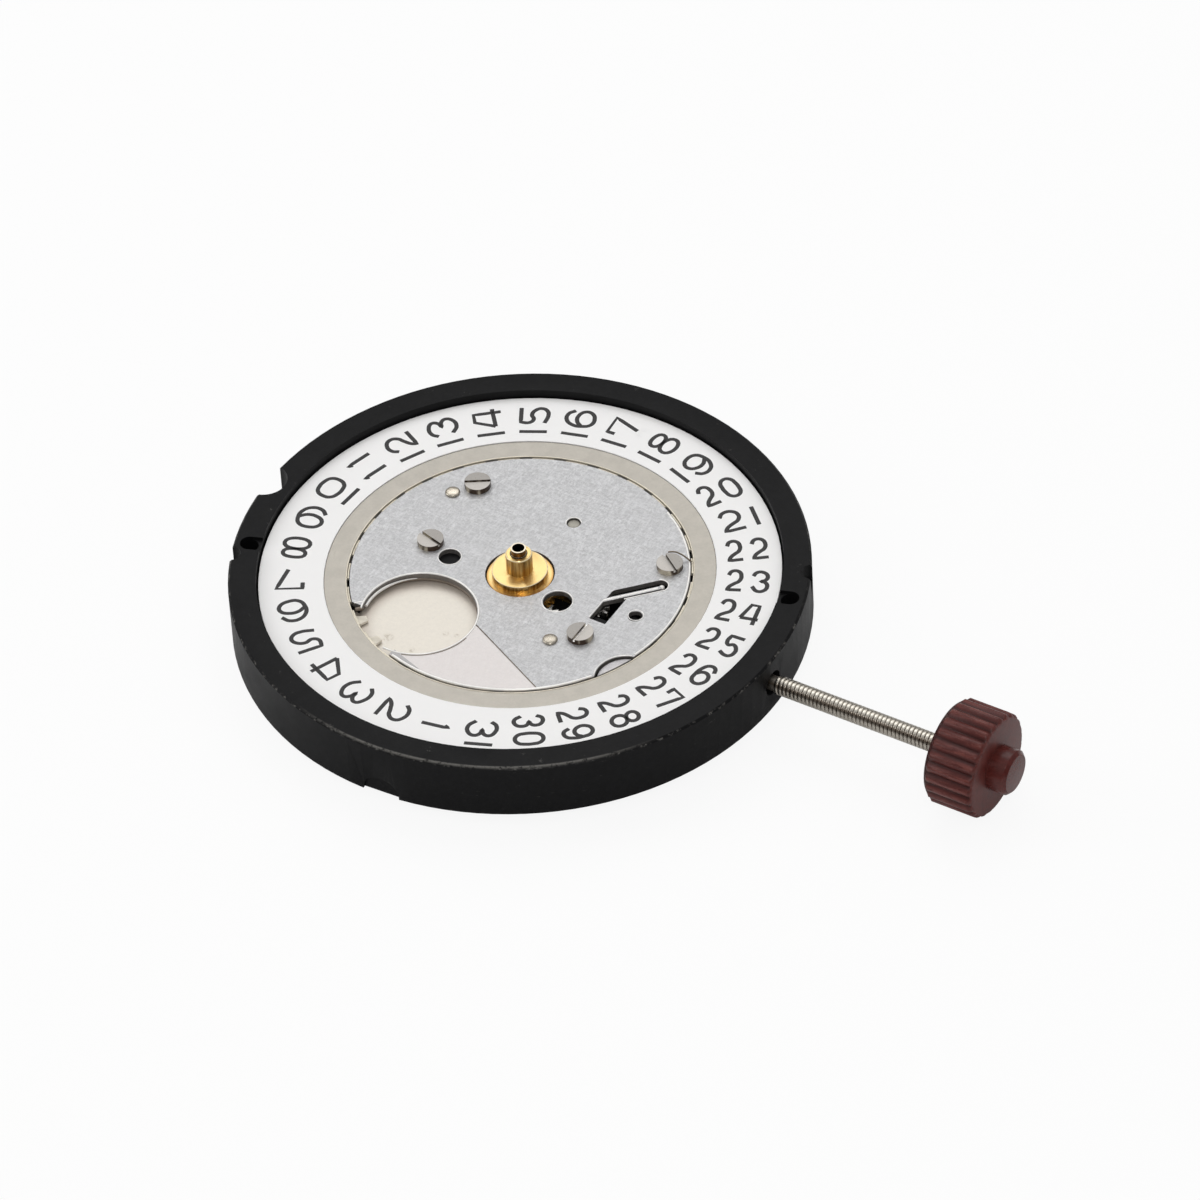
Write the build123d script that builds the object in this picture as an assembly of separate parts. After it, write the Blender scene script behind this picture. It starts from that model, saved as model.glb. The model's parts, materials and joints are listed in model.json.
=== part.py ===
from build123d import *
import os
from math import atan2, cos, degrees, hypot, pi, radians, sin, sqrt

# Quartz watch movement, hour, minute, centre seconds and date, in millimetres.
# The origin lies on the hand axis at the underside of the main plate's ring.
# +Z points to the dial side and +X runs out along the winding stem, at 3 o'clock.

# Driving sizes of the main plate and its ring
ring_radius = 13.10
ring_height = 2.78
ring_edge_chamfer = 0.10
ring_wall = 1.26
platform_step = 0.61
cover_top_level = 2.33
cover_thick = 0.25
floor_thick = 0.11
web_low_level = 1.08
web_thick = 0.25
back_seat_level = 0.28
back_rim_wall = 1.30
overrun = 1.0

# Round pieces and pockets that stay out of sight are drawn with flats, to keep the model light
pocket_sides = 18
pin_sides = 8

# Clearances
running_fit = 0.02
sliding_fit = 0.04
side_gap = 0.10
level_gap = 0.06
tooth_gap = 0.03
track_gap = 0.04

# Tooth form, in modules and in shares of one pitch
addendum_share = 0.92
dedendum_share = 1.15
root_half_share = 0.29
tip_half_share = 0.11

# Radii and levels that follow from the main plate
well_radius = ring_radius - ring_wall
back_recess_radius = ring_radius - back_rim_wall
platform_level = cover_top_level - cover_thick
date_tooth_thick = 0.12
date_tooth_top = platform_level - tooth_gap
date_tooth_low = date_tooth_top - date_tooth_thick
track_level = date_tooth_low - track_gap
cell_ceiling = track_level - floor_thick
web_top_level = web_low_level + web_thick
back_plate_thick = 0.20
back_face_level = back_seat_level - back_plate_thick

# Calendar
date_count = 31
date_band_gap = 0.08
date_band_width = 2.94
date_band_top = 2.38
date_ring_width = 1.03
date_ring_top = 2.33
date_band_low_gap = 0.17
date_tooth_reach = 0.57
date_tooth_root_half_share = 0.21
date_tooth_tip_half_share = 0.11
date_tooth_turn = 9.0
date_wheel_gap = 0.3659
date_wheel_angle = 84.3
date_pinion_teeth = 16
date_wheel_teeth = 32
date_finger_thick = 0.08
date_finger_depth = 0.22
date_finger_width = 0.30
date_finger_tip_width = 0.16
date_finger_turn = 200.0
date_band_outer = well_radius - date_band_gap
date_band_inner = date_band_outer - date_band_width
date_ring_inner = date_band_inner - date_ring_width
date_tip_reach = date_ring_inner - date_tooth_reach
date_wheel_span = 1 + 2 * (date_wheel_teeth / 2 + addendum_share) / (date_pinion_teeth + date_wheel_teeth)
date_wheel_reach = (date_tip_reach - date_wheel_gap) / date_wheel_span

# Hands and motion work
cannon_teeth = 10
minute_teeth = 30
minute_pinion_teeth = 8
hour_teeth = 32
minute_reach = 2.40
minute_angle = -30.7
motion_wheel_thick = 0.12
hour_wheel_thick = 0.14
cannon_teeth_height = 0.20
cannon_radius = 0.38
cannon_neck_radius = 0.36
minute_seat_radius = 0.35
cannon_top = 3.87
cannon_mouth_radius = 0.20
cannon_mouth_depth = 0.70
hour_pipe_radius = 0.60
hour_pipe_top = 3.55
hour_pipe_chamfer = 0.06
hour_flange_radius = 1.26
hour_flange_top = 2.60
hour_step_radius = 1.50
hour_step_top = 2.24
cover_centre_hole = 1.57

# Going train, from the step motor to the centre wheel
wheel_thick = 0.12
train_level_gap = 0.12
second_arbor_radius = 0.11
second_seat_radius = 0.10
second_seat_length = 0.30
second_arbor_top = 3.40
centre_tube_radius = 0.24
centre_tube_bore = 0.13
centre_tube_top = 3.00
centre_bush_radius = 0.62
train_arbor_radius = 0.10
train_arbor_low = 0.13
train_pivot_depth = 0.12
train_hub_radius = 0.34
second_module = 0.1267
second_teeth = 30
second_drive_leaves = 6
third_module = 0.0906
third_teeth = 45
second_leaves = 6
third_leaves = 6
centre_teeth = 48
third_angle = 20.0
intermediate_angle = 152.0
intermediate_teeth = 36
rotor_leaves = 6
rotor_module = 0.0933
rotor_angle = 150.0
rotor_radius = 0.50
rotor_height = 0.24
rotor_arbor_radius = 0.07
rim_share = 0.80
hub_share = 0.30
arm_share = 0.09
arms = 4

# Step motor
motor_angle = 135.0
stator_thick = 0.26
stator_width = 1.70
stator_air_gap = 0.14
stator_neck = 0.34
stator_notch_radius = 0.16
arm_width = 1.10
coil_inset = 3.40
coil_length = 7.40
coil_radius = 0.78
coil_flange_radius = 0.84
coil_flange_thick = 0.35
core_width = 0.80
core_thick = 0.42
coil_level = 0.93
motor_screw_radius = 0.30

# Cell and its contacts
cell_centre_gap = 2.45
cell_height = 2.00
cell_rim_wall = 1.15
cell_angle = -120.6
cell_gap = 0.10
cell_corner = 0.22
cell_cap_margin = 0.85
cell_cap_drop = 0.36
cell_gasket_width = 0.30
cell_wall = 0.20
opening_shift = 2.09
opening_radius = 2.61
opening_ledge = 0.08
face_overlap = 0.10
contact_thick = 0.12
contact_length = 2.20
contact_height = 0.90
contact_angle = 0.0
strip_thick = 0.08
strip_width = 0.80
strip_inner_share = 0.70
strip_outer_share = 1.10
strip_angle = 180.0

# Stem, crown and keyless work
stem_level = 1.42
stem_radius = 0.38
stem_square = 0.46
stem_inner_end = 4.75
stem_square_end = 5.90
stem_thread_radius = 0.44
stem_thread_gap = 0.20
stem_pull = 0.86
crown_gap = 8.87
crown_body_length = 2.45
crown_radius = 2.45
crown_rib_depth = 0.17
crown_rib_share = 0.56
crown_ribs = 26
crown_edge_chamfer = 0.10
crown_boss_radius = 1.05
crown_boss_length = 0.95
crown_boss_chamfer = 0.16
crown_socket_depth = 1.60
stem_exit_radius = 0.60
stem_exit_depth = 0.55
groove_place = 6.02
groove_width = 0.42
groove_radius = 0.20
clutch_start = 5.00
clutch_length = 0.75
clutch_radius = 0.60
clutch_teeth = 10
clutch_tooth_length = 0.20
clutch_groove_width = 0.22
clutch_groove_radius = 0.40
clutch_collar = 0.14
clutch_tooth_deep_share = 0.55
clutch_tooth_wide_share = 0.50
setting_teeth = 8
setting_wheel_place = 4.00
setting_wheel_low = 1.40
setting_wheel_high = 1.98
lever_pivot_x = 6.30
lever_pivot_y = 2.55
lever_length = 2.31
lever_thick = 0.16
lever_width = 0.30
lever_tip_width = 0.24
lever_head_radius = 0.42
yoke_pivot_x = 6.15
yoke_pivot_y = -2.30
yoke_width = 0.34
yoke_head_radius = 0.40
yoke_tip_width = 0.16
corrector_inset = 0.54
corrector_angle = -25.8
corrector_radius = 0.42
corrector_lobes = 6
corrector_lobe_share = 0.55
post_radius = 0.16
post_sink = 0.20
jumper_width = 0.20
jumper_beak_depth = 0.24
jumper_beak_width = 0.62
jumper_root_inset = 0.92
jumper_root_angle = 52.0
jumper_foot_radius = 0.30
jumper_gap_count = 2.5

# Dial-side cover plate: places are shares of its radius with an angle
cover_edge_gap = 0.13
cover_screw_head = 0.60
cover_screw_head_top = 2.62
cover_screw_shank = 0.30
cover_screw_depth = 0.62
cover_screw_slot_width = 0.14
cover_screw_slot_depth = 0.12
cover_screw_shares = [(0.8155, 139.2, 32.0), (0.6023, 182.2, -15.0),
                      (0.6597, -26.6, 90.0), (0.8779, 31.6, -35.0)]
pin_radius = 0.34
pin_top = 2.41
pin_shank_radius = 0.20
pin_depth = 0.40
pin_shares = [(0.8263, 150.2), (0.6100, -42.0)]
dark_hole_share = (0.4447, 189.5)
dark_hole_radius = 0.50
view_hole_share = (0.3365, -18.1)
view_hole_radius = 0.66
release_hole_radius = 0.34
post_hole_radius = 0.33
slot_inner_share = (0.6128, 10.2)
slot_outer_share = (0.8346, 20.7)
slot_width = 0.70
tongue_width = 0.20
window_low_shares = (0.5575, -0.1410)
window_high_shares = (0.6645, 0.0980)
bite_share = (1.1035, -25.35)
bite_radius = 1.36
seam_shares = [(-0.30, -0.345), (0.80, -0.888), (0.80, -1.20), (-0.50, -1.20)]
seam_gap = 0.03
mouth_shares = [(0.667, -120.6), (0.955, 225.0), (1.08, 218.6), (1.20, 229.0),
                (1.20, 245.0), (1.08, 252.0), (0.965, 251.2)]

# Ring details: notch, dial feet, rim pockets
rim_notch_radius = 1.05
rim_notch_offset = 0.16
rim_notch_angle = 182.2
foot_hole_radius = 0.42
foot_hole_inset = 0.72
foot_hole_angles = [18.3, -158.9]
foot_hole_depth = 1.80
foot_bevel_depth = 0.16
foot_bevel_width = 0.84
rim_pocket_radius = 0.46
rim_pocket_angles = [26.4, -155.6]
rim_pocket_depth = 0.95
wall_pocket_angle = -87.2
wall_pocket_radius = 0.90
wall_pocket_height = 0.95
wall_pocket_depth = 0.18

# Back of the movement
bridge_radius = 5.20
back_plate_gap = 0.12
module_outer_gap = 0.10
back_screw_head = 0.52
back_screw_head_height = 0.18
back_screw_shank = 0.26
back_screw_depth = 0.45
back_screw_slot_width = 0.14
back_screw_slot_depth = 0.10
bridge_screw_shares = [(0.90, 75.0, 20.0), (0.90, -32.0, -40.0)]
module_screw_shares = [(0.924, 178.0, 55.0), (0.924, 40.0, -30.0), (0.924, -52.0, 80.0)]
board_thick = 0.15
board_recess = 0.20
board_bridge_gap = 0.50
board_edge_gap = 0.50
board_start = 10.0
board_end = 46.0
board_end_gap = 1.0
board_gap = 0.06
chip_size = 2.10
chip_height = 0.55
chip_inset = 3.30
chip_angle = 24.0
can_radius = 0.62
can_length = 4.80
can_inset = 2.10
can_angle = 68.0
can_level = 0.98
can_lead_radius = 0.07
can_lead_length = 1.30
can_lead_spread = 0.24
window_margin = 0.22

# Places that follow from the sizes above


def polar(reach, angle):
    return (reach * cos(radians(angle)), reach * sin(radians(angle)))


def from_place(place, reach, angle):
    dx, dy = polar(reach, angle)
    return (place[0] + dx, place[1] + dy)


def bearing(start, end):
    return degrees(atan2(end[1] - start[1], end[0] - start[0]))


def mesh_turn(teeth_a, turn_a, teeth_b, direction):
    """Turn of wheel b that puts its gap over a tooth of wheel a on their line of centres."""
    phase = ((direction - turn_a) / (360 / teeth_a)) % 1
    return direction + 180 + (phase + 0.5) * 360 / teeth_b


centre = (0, 0)
minute_place = polar(minute_reach, minute_angle)
setting_place = (setting_wheel_place, 0)
date_wheel_place = polar(date_wheel_reach, date_wheel_angle)
cell_radius = (ring_radius - cell_rim_wall - cell_centre_gap) / 2
cell_reach = cell_centre_gap + cell_radius
cell_cap_radius = cell_radius - cell_cap_margin
opening_reach = cell_reach - opening_shift
cover_radius = date_ring_inner - cover_edge_gap
platform_radius = cover_radius - platform_step
corrector_reach = date_tip_reach - corrector_inset
jumper_root_reach = date_tip_reach - jumper_root_inset
rim_notch_reach = ring_radius + rim_notch_offset
foot_hole_reach = ring_radius - foot_hole_inset
board_outer = back_recess_radius - board_edge_gap
board_inner = bridge_radius + board_bridge_gap
chip_reach = board_outer - chip_inset
coil_reach = back_recess_radius - coil_inset
can_reach = back_recess_radius - can_inset
cell_place = polar(cell_reach, cell_angle)
stem_thread_start = ring_radius + stem_thread_gap
crown_start = ring_radius + crown_gap
opening_place = polar(opening_reach, cell_angle)
third_reach = third_module * (third_teeth + second_leaves) / 2
third_place = polar(third_reach, third_angle)
centre_module = 2 * third_reach / (centre_teeth + third_leaves)
intermediate_reach = second_module * (second_teeth + second_drive_leaves) / 2
intermediate_place = polar(intermediate_reach, intermediate_angle)
rotor_reach = rotor_module * (intermediate_teeth + rotor_leaves) / 2
rotor_place = from_place(intermediate_place, rotor_reach, rotor_angle)
motion_module = 2 * minute_reach / (cannon_teeth + minute_teeth)
hour_module = 2 * minute_reach / (hour_teeth + minute_pinion_teeth)
date_module = 2 * date_wheel_reach / (date_pinion_teeth + date_wheel_teeth)
corrector_place = polar(corrector_reach, corrector_angle)
jumper_angle = date_tooth_turn + jumper_gap_count * 360 / date_count
lever_pivot = (lever_pivot_x, lever_pivot_y)
yoke_pivot = (yoke_pivot_x, yoke_pivot_y)
can_place = polar(can_reach, can_angle)
stator_reach = (rotor_place[0] * cos(radians(motor_angle))
                + rotor_place[1] * sin(radians(motor_angle)))
cover_screw_places = [(*polar(share * cover_radius, angle), slot)
                      for share, angle, slot in cover_screw_shares]
pin_places = [polar(share * cover_radius, angle) for share, angle in pin_shares]
bridge_screws = [(*polar(share * bridge_radius, angle), slot)
                 for share, angle, slot in bridge_screw_shares]
module_screws = [(*polar(share * back_recess_radius, angle), slot)
                 for share, angle, slot in module_screw_shares]

# Levels of the wheels
second_low = back_seat_level + level_gap
third_low = second_low + wheel_thick + train_level_gap
centre_low = third_low + wheel_thick + train_level_gap
stator_low = web_low_level - stator_thick
cannon_low = web_top_level + level_gap / 2
cannon_teeth_low = web_top_level + level_gap
cannon_teeth_top = cannon_teeth_low + cannon_teeth_height
minute_low = cannon_teeth_low + (cannon_teeth_height - motion_wheel_thick) / 2
hour_low = cannon_teeth_top + sliding_fit
minute_pinion_top = hour_low + hour_wheel_thick + sliding_fit
date_pinion_low = hour_low + hour_wheel_thick + level_gap
date_wheel_low = date_pinion_low + running_fit
date_wheel_top = date_wheel_low + wheel_thick
date_finger_top = date_wheel_top + date_finger_thick
cell_low = cell_ceiling - cell_height


def ring(outer, low, high, place=(0, 0), inner=0):
    """Upright cylinder, or tube, between two levels."""
    section = Circle(outer)
    if inner:
        section -= Circle(inner)
    return Pos(place[0], place[1], low) * extrude(section, high - low)


def slab(section, low, high):
    return Pos(0, 0, low) * extrude(section, high - low)


def spot(place, radius):
    return Pos(place[0], place[1]) * Circle(radius)


def link(start, end, width):
    """Straight strip with round ends between two places."""
    return bar(start, end, width) + spot(start, width / 2) + spot(end, width / 2)


def bar(start, end, width, over=0):
    """Straight strip between two places, lengthened at both ends."""
    length = hypot(end[0] - start[0], end[1] - start[1]) + 2 * over
    middle = Pos((start[0] + end[0]) / 2, (start[1] + end[1]) / 2)
    return middle * Rot(0, 0, bearing(start, end)) * Rectangle(length, width)


def pocket(place, radius):
    """Outline with flats that just clear a round piece of this radius."""
    return Pos(place[0], place[1]) * RegularPolygon(radius, pocket_sides, major_radius=False)


def pin_outline(place, radius):
    """Outline of a hidden pin, whose corners lie on the radius."""
    return Pos(place[0], place[1]) * RegularPolygon(radius, pin_sides)


def pin_hole(place, radius):
    """Outline of a hidden hole, whose flats lie on the radius."""
    return Pos(place[0], place[1]) * RegularPolygon(radius, pin_sides, major_radius=False)


def pin(radius, low, high, place=(0, 0)):
    return slab(pin_outline(place, radius), low, high)


def outline(points):
    return make_face(Polyline(*points, close=True))


def share_face(shares, size):
    return outline([(x * size, y * size) for x, y in shares])


def motor_frame(reach, along):
    """Place given as a reach towards the coil and a distance along it."""
    start = polar(reach, motor_angle)
    return from_place(start, along, motor_angle - 90)


def motor_box(reach, along, deep, wide):
    place = motor_frame(reach, along)
    return Pos(*place) * Rot(0, 0, motor_angle) * Rectangle(deep, wide)


def gear_section(teeth, module, turn):
    """Toothed outline with straight flanks and a little backlash."""
    root = teeth * module / 2 - dedendum_share * module
    tip = teeth * module / 2 + addendum_share * module
    step = 360 / teeth
    points = []
    for tooth in range(teeth):
        middle = turn + tooth * step
        points.append(polar(root, middle - root_half_share * step))
        points.append(polar(tip, middle - tip_half_share * step))
        points.append(polar(tip, middle + tip_half_share * step))
        points.append(polar(root, middle + root_half_share * step))
    return outline(points)


def gear(teeth, module, low, high, place, turn, bore=0):
    section = gear_section(teeth, module, turn)
    if bore:
        section -= pin_hole(centre, bore)
    return Pos(place[0], place[1], low) * extrude(section, high - low)


def spoked_gear(teeth, module, low, high, place, turn, bore):
    """Wheel with arms between its hub and its rim."""
    wheel = gear(teeth, module, low, high, place, turn, bore)
    pitch_radius = teeth * module / 2
    return wheel - slab(Pos(*place) * spoke_windows(pitch_radius, turn), low - overrun, high + overrun)


def spoke_windows(pitch_radius, turn):
    """Openings between the arms of a wheel."""
    rim, hub = rim_share * pitch_radius, hub_share * pitch_radius
    half_arm = arm_share * pitch_radius
    half = 180 / arms
    windows = Sketch()
    for k in range(arms):
        middle = turn + 2 * k * half
        rim_half = half - degrees(half_arm / rim)
        hub_half = half - degrees(half_arm / hub)
        windows += outline([polar(rim, middle - rim_half), polar(rim, middle), polar(rim, middle + rim_half),
                            polar(hub, middle + hub_half), polar(hub, middle - hub_half)])
    return windows


def slotted_screw(place, slot_angle, head, head_low, head_high, shank, shank_end, slot, facing):
    """Screw with a slotted head; facing is 1 with the head on top and -1 below."""
    outer = head_high if facing > 0 else head_low
    screw = ring(head, head_low, head_high, place)
    screw += pin(shank, min(shank_end, head_low), max(shank_end, head_low), place)
    trim = outer - facing * slot[1]
    cut = Pos(*place) * Rot(0, 0, slot_angle) * Rectangle(2 * head + overrun, slot[0])
    return screw - slab(cut, min(trim, outer + facing * overrun), max(trim, outer + facing * overrun))


def sector(inner, outer, start, end):
    """Part of an annulus between two angles."""
    middle = (start + end) / 2
    points = [polar(inner, start), polar(inner, middle), polar(inner, end)]
    far = [polar(outer, end), polar(outer, middle), polar(outer, start)]
    edges = [ThreePointArc(*points), Line(points[2], far[0]),
             ThreePointArc(*far), Line(far[2], points[0])]
    return make_face(Curve() + edges)


def train_pocket_section():
    second_clear = second_module * second_teeth / 2 + second_module + side_gap
    centre_clear = centre_module * centre_teeth / 2 + centre_module + side_gap
    third_clear = third_module * third_teeth / 2 + third_module + side_gap
    middle_clear = rotor_module * intermediate_teeth / 2 + rotor_module + side_gap
    section = pocket(centre, max(second_clear, centre_clear))
    section += pocket(third_place, third_clear)
    section += pocket(intermediate_place, middle_clear)
    return section + pocket(rotor_place, rotor_radius + stator_air_gap)


def stator_section(margin=0):
    """Flat bar with two arms that reach the ends of the coil's core."""
    arm_along = coil_length / 2 + arm_width / 2 + side_gap
    span = 2 * arm_along + arm_width + 2 * margin
    section = motor_box(stator_reach, 0, stator_width + 2 * margin, span)
    arm_end = coil_reach + core_width / 2
    arm_deep = arm_end - stator_reach + 2 * margin
    for side in (-1, 1):
        section += motor_box((arm_end + stator_reach) / 2, side * arm_along,
                             arm_deep, arm_width + 2 * margin)
    return section


def motion_pocket_section():
    hour_clear = hour_module * hour_teeth / 2 + hour_module + side_gap
    minute_clear = motion_module * minute_teeth / 2 + motion_module + side_gap
    setting_clear = motion_module * setting_teeth / 2 + motion_module + side_gap
    section = pocket(centre, hour_clear) + pocket(minute_place, minute_clear)
    return section + pocket(setting_place, setting_clear)


def lever_section(margin=0):
    """Setting lever: a head round its pivot and a finger that ends in the stem's groove."""
    rest_shift = groove_place - lever_pivot_x
    tip_y = lever_pivot_y - sqrt(lever_length ** 2 - rest_shift ** 2)
    tip = (groove_place, tip_y)
    knee = ((tip[0] + lever_pivot_x) / 2, (tip[1] + lever_pivot_y) / 2)
    section = pin_outline(lever_pivot, lever_head_radius + margin)
    section += bar(lever_pivot, knee, lever_width + 2 * margin, margin)
    return section + bar(knee, tip, lever_tip_width + 2 * margin, margin)


def yoke_section(margin=0):
    """Yoke: a head round its pivot and a finger beside the sliding pinion's groove."""
    tip = (clutch_start + clutch_length - clutch_collar - clutch_groove_width / 2,
           -clutch_groove_radius - sliding_fit)
    knee = (tip[0], tip[1] - 2 * yoke_width)
    section = pin_outline(yoke_pivot, yoke_head_radius + margin)
    section += bar(yoke_pivot, knee, yoke_width + 2 * margin, yoke_width / 2 + margin)
    return section + bar(knee, tip, yoke_tip_width + 2 * margin, margin)


def jumper_section(margin=0):
    """Date jumper: a foot, a thin arm and a beak between two date teeth."""
    tip_reach = date_tip_reach - sliding_fit
    foot = polar(jumper_root_reach, jumper_root_angle)
    bend = polar(tip_reach - jumper_width - margin, (jumper_angle + jumper_root_angle) / 2)
    head = polar(tip_reach - jumper_width, jumper_angle)
    section = pin_outline(foot, jumper_foot_radius + margin)
    section += bar(foot, bend, jumper_width + 2 * margin, jumper_width / 2)
    return section + bar(bend, head, jumper_width + 2 * margin, jumper_width / 2)


def jumper_beak():
    base = date_tip_reach - jumper_width
    half = degrees(jumper_beak_width / 2 / date_tip_reach)
    tip_half = half * tip_half_share
    return outline([polar(base, jumper_angle - half), polar(base, jumper_angle + half),
                    polar(date_tip_reach + jumper_beak_depth, jumper_angle + tip_half),
                    polar(date_tip_reach + jumper_beak_depth, jumper_angle - tip_half)])


def cell_window_section():
    """What lies open over the cell, seen from the dial side."""
    mouth = outline([polar(share * cover_radius, angle) for share, angle in mouth_shares])
    opening = spot(opening_place, opening_radius + opening_ledge) + mouth
    return opening & spot(cell_place, cell_radius - cell_wall)


def cell_face_section(margin=0):
    return spot(opening_place, opening_radius + face_overlap + margin)


def dial_pockets():
    """Cuts made in the main plate from the dial side, each with its levels."""
    top = ring_height + overrun
    lever_floor = stem_level - lever_thick / 2 - sliding_fit
    clutch_low = stem_level - clutch_radius - sliding_fit
    clutch_end = clutch_start + clutch_length + sliding_fit
    clutch_begin = setting_place[0]
    channel = Pos((clutch_begin + clutch_end) / 2, 0) * Rectangle(
        clutch_end - clutch_begin, 2 * (clutch_radius + sliding_fit))
    swing = sector_pocket()
    finger_clear = date_tip_reach + date_finger_depth
    finger_reach = finger_clear - date_wheel_reach + side_gap
    date_clear = date_module * date_wheel_teeth / 2 + date_module + side_gap
    date_floor = date_wheel_low - level_gap
    inside = Circle(platform_radius + overrun)
    return [
        (Circle(well_radius) - Circle(platform_radius), track_level, top),
        (Circle(platform_radius), platform_level, top),
        (motion_pocket_section(), web_top_level, top),
        (pocket(date_wheel_place, date_clear), date_floor, top),
        (pocket(date_wheel_place, finger_reach) & inside, date_wheel_top - running_fit, top),
        (channel, clutch_low, top),
        (swing, lever_floor, top),
        (yoke_section(side_gap), lever_floor, top),
        (pocket(corrector_place, corrector_radius + side_gap), date_floor, top),
        ((jumper_section(side_gap) + jumper_beak()) & inside, date_tooth_low - level_gap, top),
        (cell_window_section(), cell_ceiling - overrun, top),
        (cell_face_section(side_gap), cell_ceiling, top),
    ]


def sector_pocket():
    """Room for the setting lever over its whole swing."""
    half = degrees(stem_pull / lever_length)
    pocket = lever_section(side_gap)
    for turn in (half / 2, half):
        place = Pos(lever_pivot_x, lever_pivot_y)
        pocket += place * Rot(0, 0, turn) * place.inverse() * lever_section(side_gap)
    return pocket


def back_pockets():
    """Cuts made in the main plate from the back, each with its levels."""
    low = -overrun
    coil_wide = coil_length + 2 * side_gap
    coil_deep = 2 * (coil_flange_radius + side_gap)
    coil = motor_box(coil_reach, 0, coil_deep, coil_wide)
    can = (Pos(*can_place) * Rot(0, 0, can_angle)
           * Rectangle(2 * (can_radius + side_gap), can_length + 2 * side_gap))
    leads = (Pos(*from_place(can_place, (can_length + can_lead_length) / 2, can_angle - 90))
             * Rot(0, 0, can_angle) * Rectangle(4 * can_lead_spread, can_lead_length + side_gap))
    board = sector(board_inner - board_gap, board_outer + board_gap, board_start, board_end)
    chip = (Pos(*polar(chip_reach, chip_angle)) * Rot(0, 0, chip_angle)
            * Rectangle(chip_size + 2 * side_gap, chip_size + 2 * side_gap))
    board_level = back_seat_level + board_recess
    contact = contact_section(side_gap)
    return [
        (Circle(back_recess_radius), low, back_seat_level),
        (spot(cell_place, cell_radius + cell_gap), low, cell_ceiling),
        (train_pocket_section(), low, web_low_level),
        (stator_section(side_gap), low, web_low_level),
        (coil, low, coil_level + coil_flange_radius + sliding_fit),
        (can, low, can_level + can_radius + sliding_fit),
        (leads, low, can_level + can_lead_radius + sliding_fit),
        (board, low, board_level),
        (chip, low, board_level + chip_height + sliding_fit),
        (contact, low, back_seat_level + contact_height),
        (strip_leg_section(), low, cell_ceiling),
        (strip_section(), cell_ceiling - sliding_fit, cell_ceiling + strip_thick),
    ]


def rim_cuts():
    """Notch, dial-foot holes, rim pockets and the stem's way out, as solids."""
    cuts = [ring(rim_notch_radius, -overrun, ring_height + overrun,
                 polar(rim_notch_reach, rim_notch_angle))]
    for angle in foot_hole_angles:
        foot = polar(foot_hole_reach, angle)
        cuts.append(ring(foot_hole_radius, ring_height - foot_hole_depth,
                         ring_height + overrun, foot))
        inner = polar(well_radius, angle)
        cuts.append(slab(link(foot, inner, foot_bevel_width),
                         ring_height - foot_bevel_depth, ring_height + overrun))
    for angle in rim_pocket_angles:
        cuts.append(ring(rim_pocket_radius, ring_height - rim_pocket_depth,
                         ring_height + overrun, polar(ring_radius, angle)))
    arch = Rot(0, 0, wall_pocket_angle) * Pos(ring_radius, 0, wall_pocket_height - wall_pocket_radius)
    depth = 2 * wall_pocket_depth
    cuts.append(arch * Rot(0, 90, 0) * Cylinder(wall_pocket_radius, depth))
    along = Pos(0, 0, stem_level) * Rot(0, 90, 0)
    bore = Pos(0, 0, clutch_start) * extrude(pin_hole(centre, stem_radius + running_fit), ring_radius)
    mouth = Pos(0, 0, ring_radius - stem_exit_depth) * extrude(Circle(stem_exit_radius), ring_radius)
    return cuts + [along * bore, along * mouth]


def fixing_holes():
    """Blind holes for posts, pins and screws, and the train's bearings."""
    cuts = [pin(centre_bush_radius, web_low_level - overrun, web_top_level)]
    for place, low, high in post_places():
        cuts.append(pin(post_radius, low, high + overrun, place))
    for x, y, slot in cover_screw_places:
        cuts.append(pin(cover_screw_shank, platform_level - cover_screw_depth,
                        platform_level + overrun, (x, y)))
    for place in pin_places:
        cuts.append(pin(pin_shank_radius, platform_level - pin_depth,
                        platform_level + overrun, place))
    for x, y, slot in bridge_screws + module_screws:
        cuts.append(pin(back_screw_shank, back_seat_level - overrun,
                        back_seat_level + back_screw_depth, (x, y)))
    for place, radius in bridge_bearings()[1:]:
        cuts.append(slab(pin_hole(place, radius + running_fit), web_low_level - overrun,
                         web_low_level + train_pivot_depth + running_fit))
    for place in motor_screw_places():
        cuts.append(pin(motor_screw_radius, web_low_level - overrun,
                        web_low_level + train_pivot_depth, place))
    return cuts


def main_plate():
    """Black moulded plate with the outer ring, pocketed from both sides."""
    body = ring(ring_radius, 0, ring_height)
    body = chamfer(body.edges().filter_by(GeomType.CIRCLE).sort_by(Axis.Z)[-1], ring_edge_chamfer)
    cuts = [slab(section, low, high) for section, low, high in dial_pockets() + back_pockets()]
    return body - cuts - rim_cuts() - fixing_holes()


def post_places():
    """Fixed steel posts: place, foot level and top level."""
    under = platform_level - sliding_fit
    lever_floor = stem_level - lever_thick / 2 - sliding_fit
    date_floor = date_wheel_low - level_gap
    beak_floor = date_tooth_low - level_gap
    foot = polar(jumper_root_reach, jumper_root_angle)
    return [
        (minute_place, web_top_level - post_sink, minute_pinion_top),
        (setting_place, web_top_level - post_sink, under),
        (date_wheel_place, date_floor - post_sink, cover_top_level - sliding_fit),
        (lever_pivot, lever_floor - post_sink, under),
        (yoke_pivot, lever_floor - post_sink, under),
        (corrector_place, date_floor - post_sink, under),
        (foot, beak_floor - post_sink, under),
    ]


def steel_posts():
    return Compound(children=[pin(post_radius, low, high, place)
                              for place, low, high in post_places()])


def centre_bush():
    """Brass bush pressed into the web, in which the centre wheel's tube turns."""
    section = pin_outline(centre, centre_bush_radius) - pin_hole(centre, centre_tube_radius + running_fit)
    return slab(section, web_low_level, web_top_level)


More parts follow.
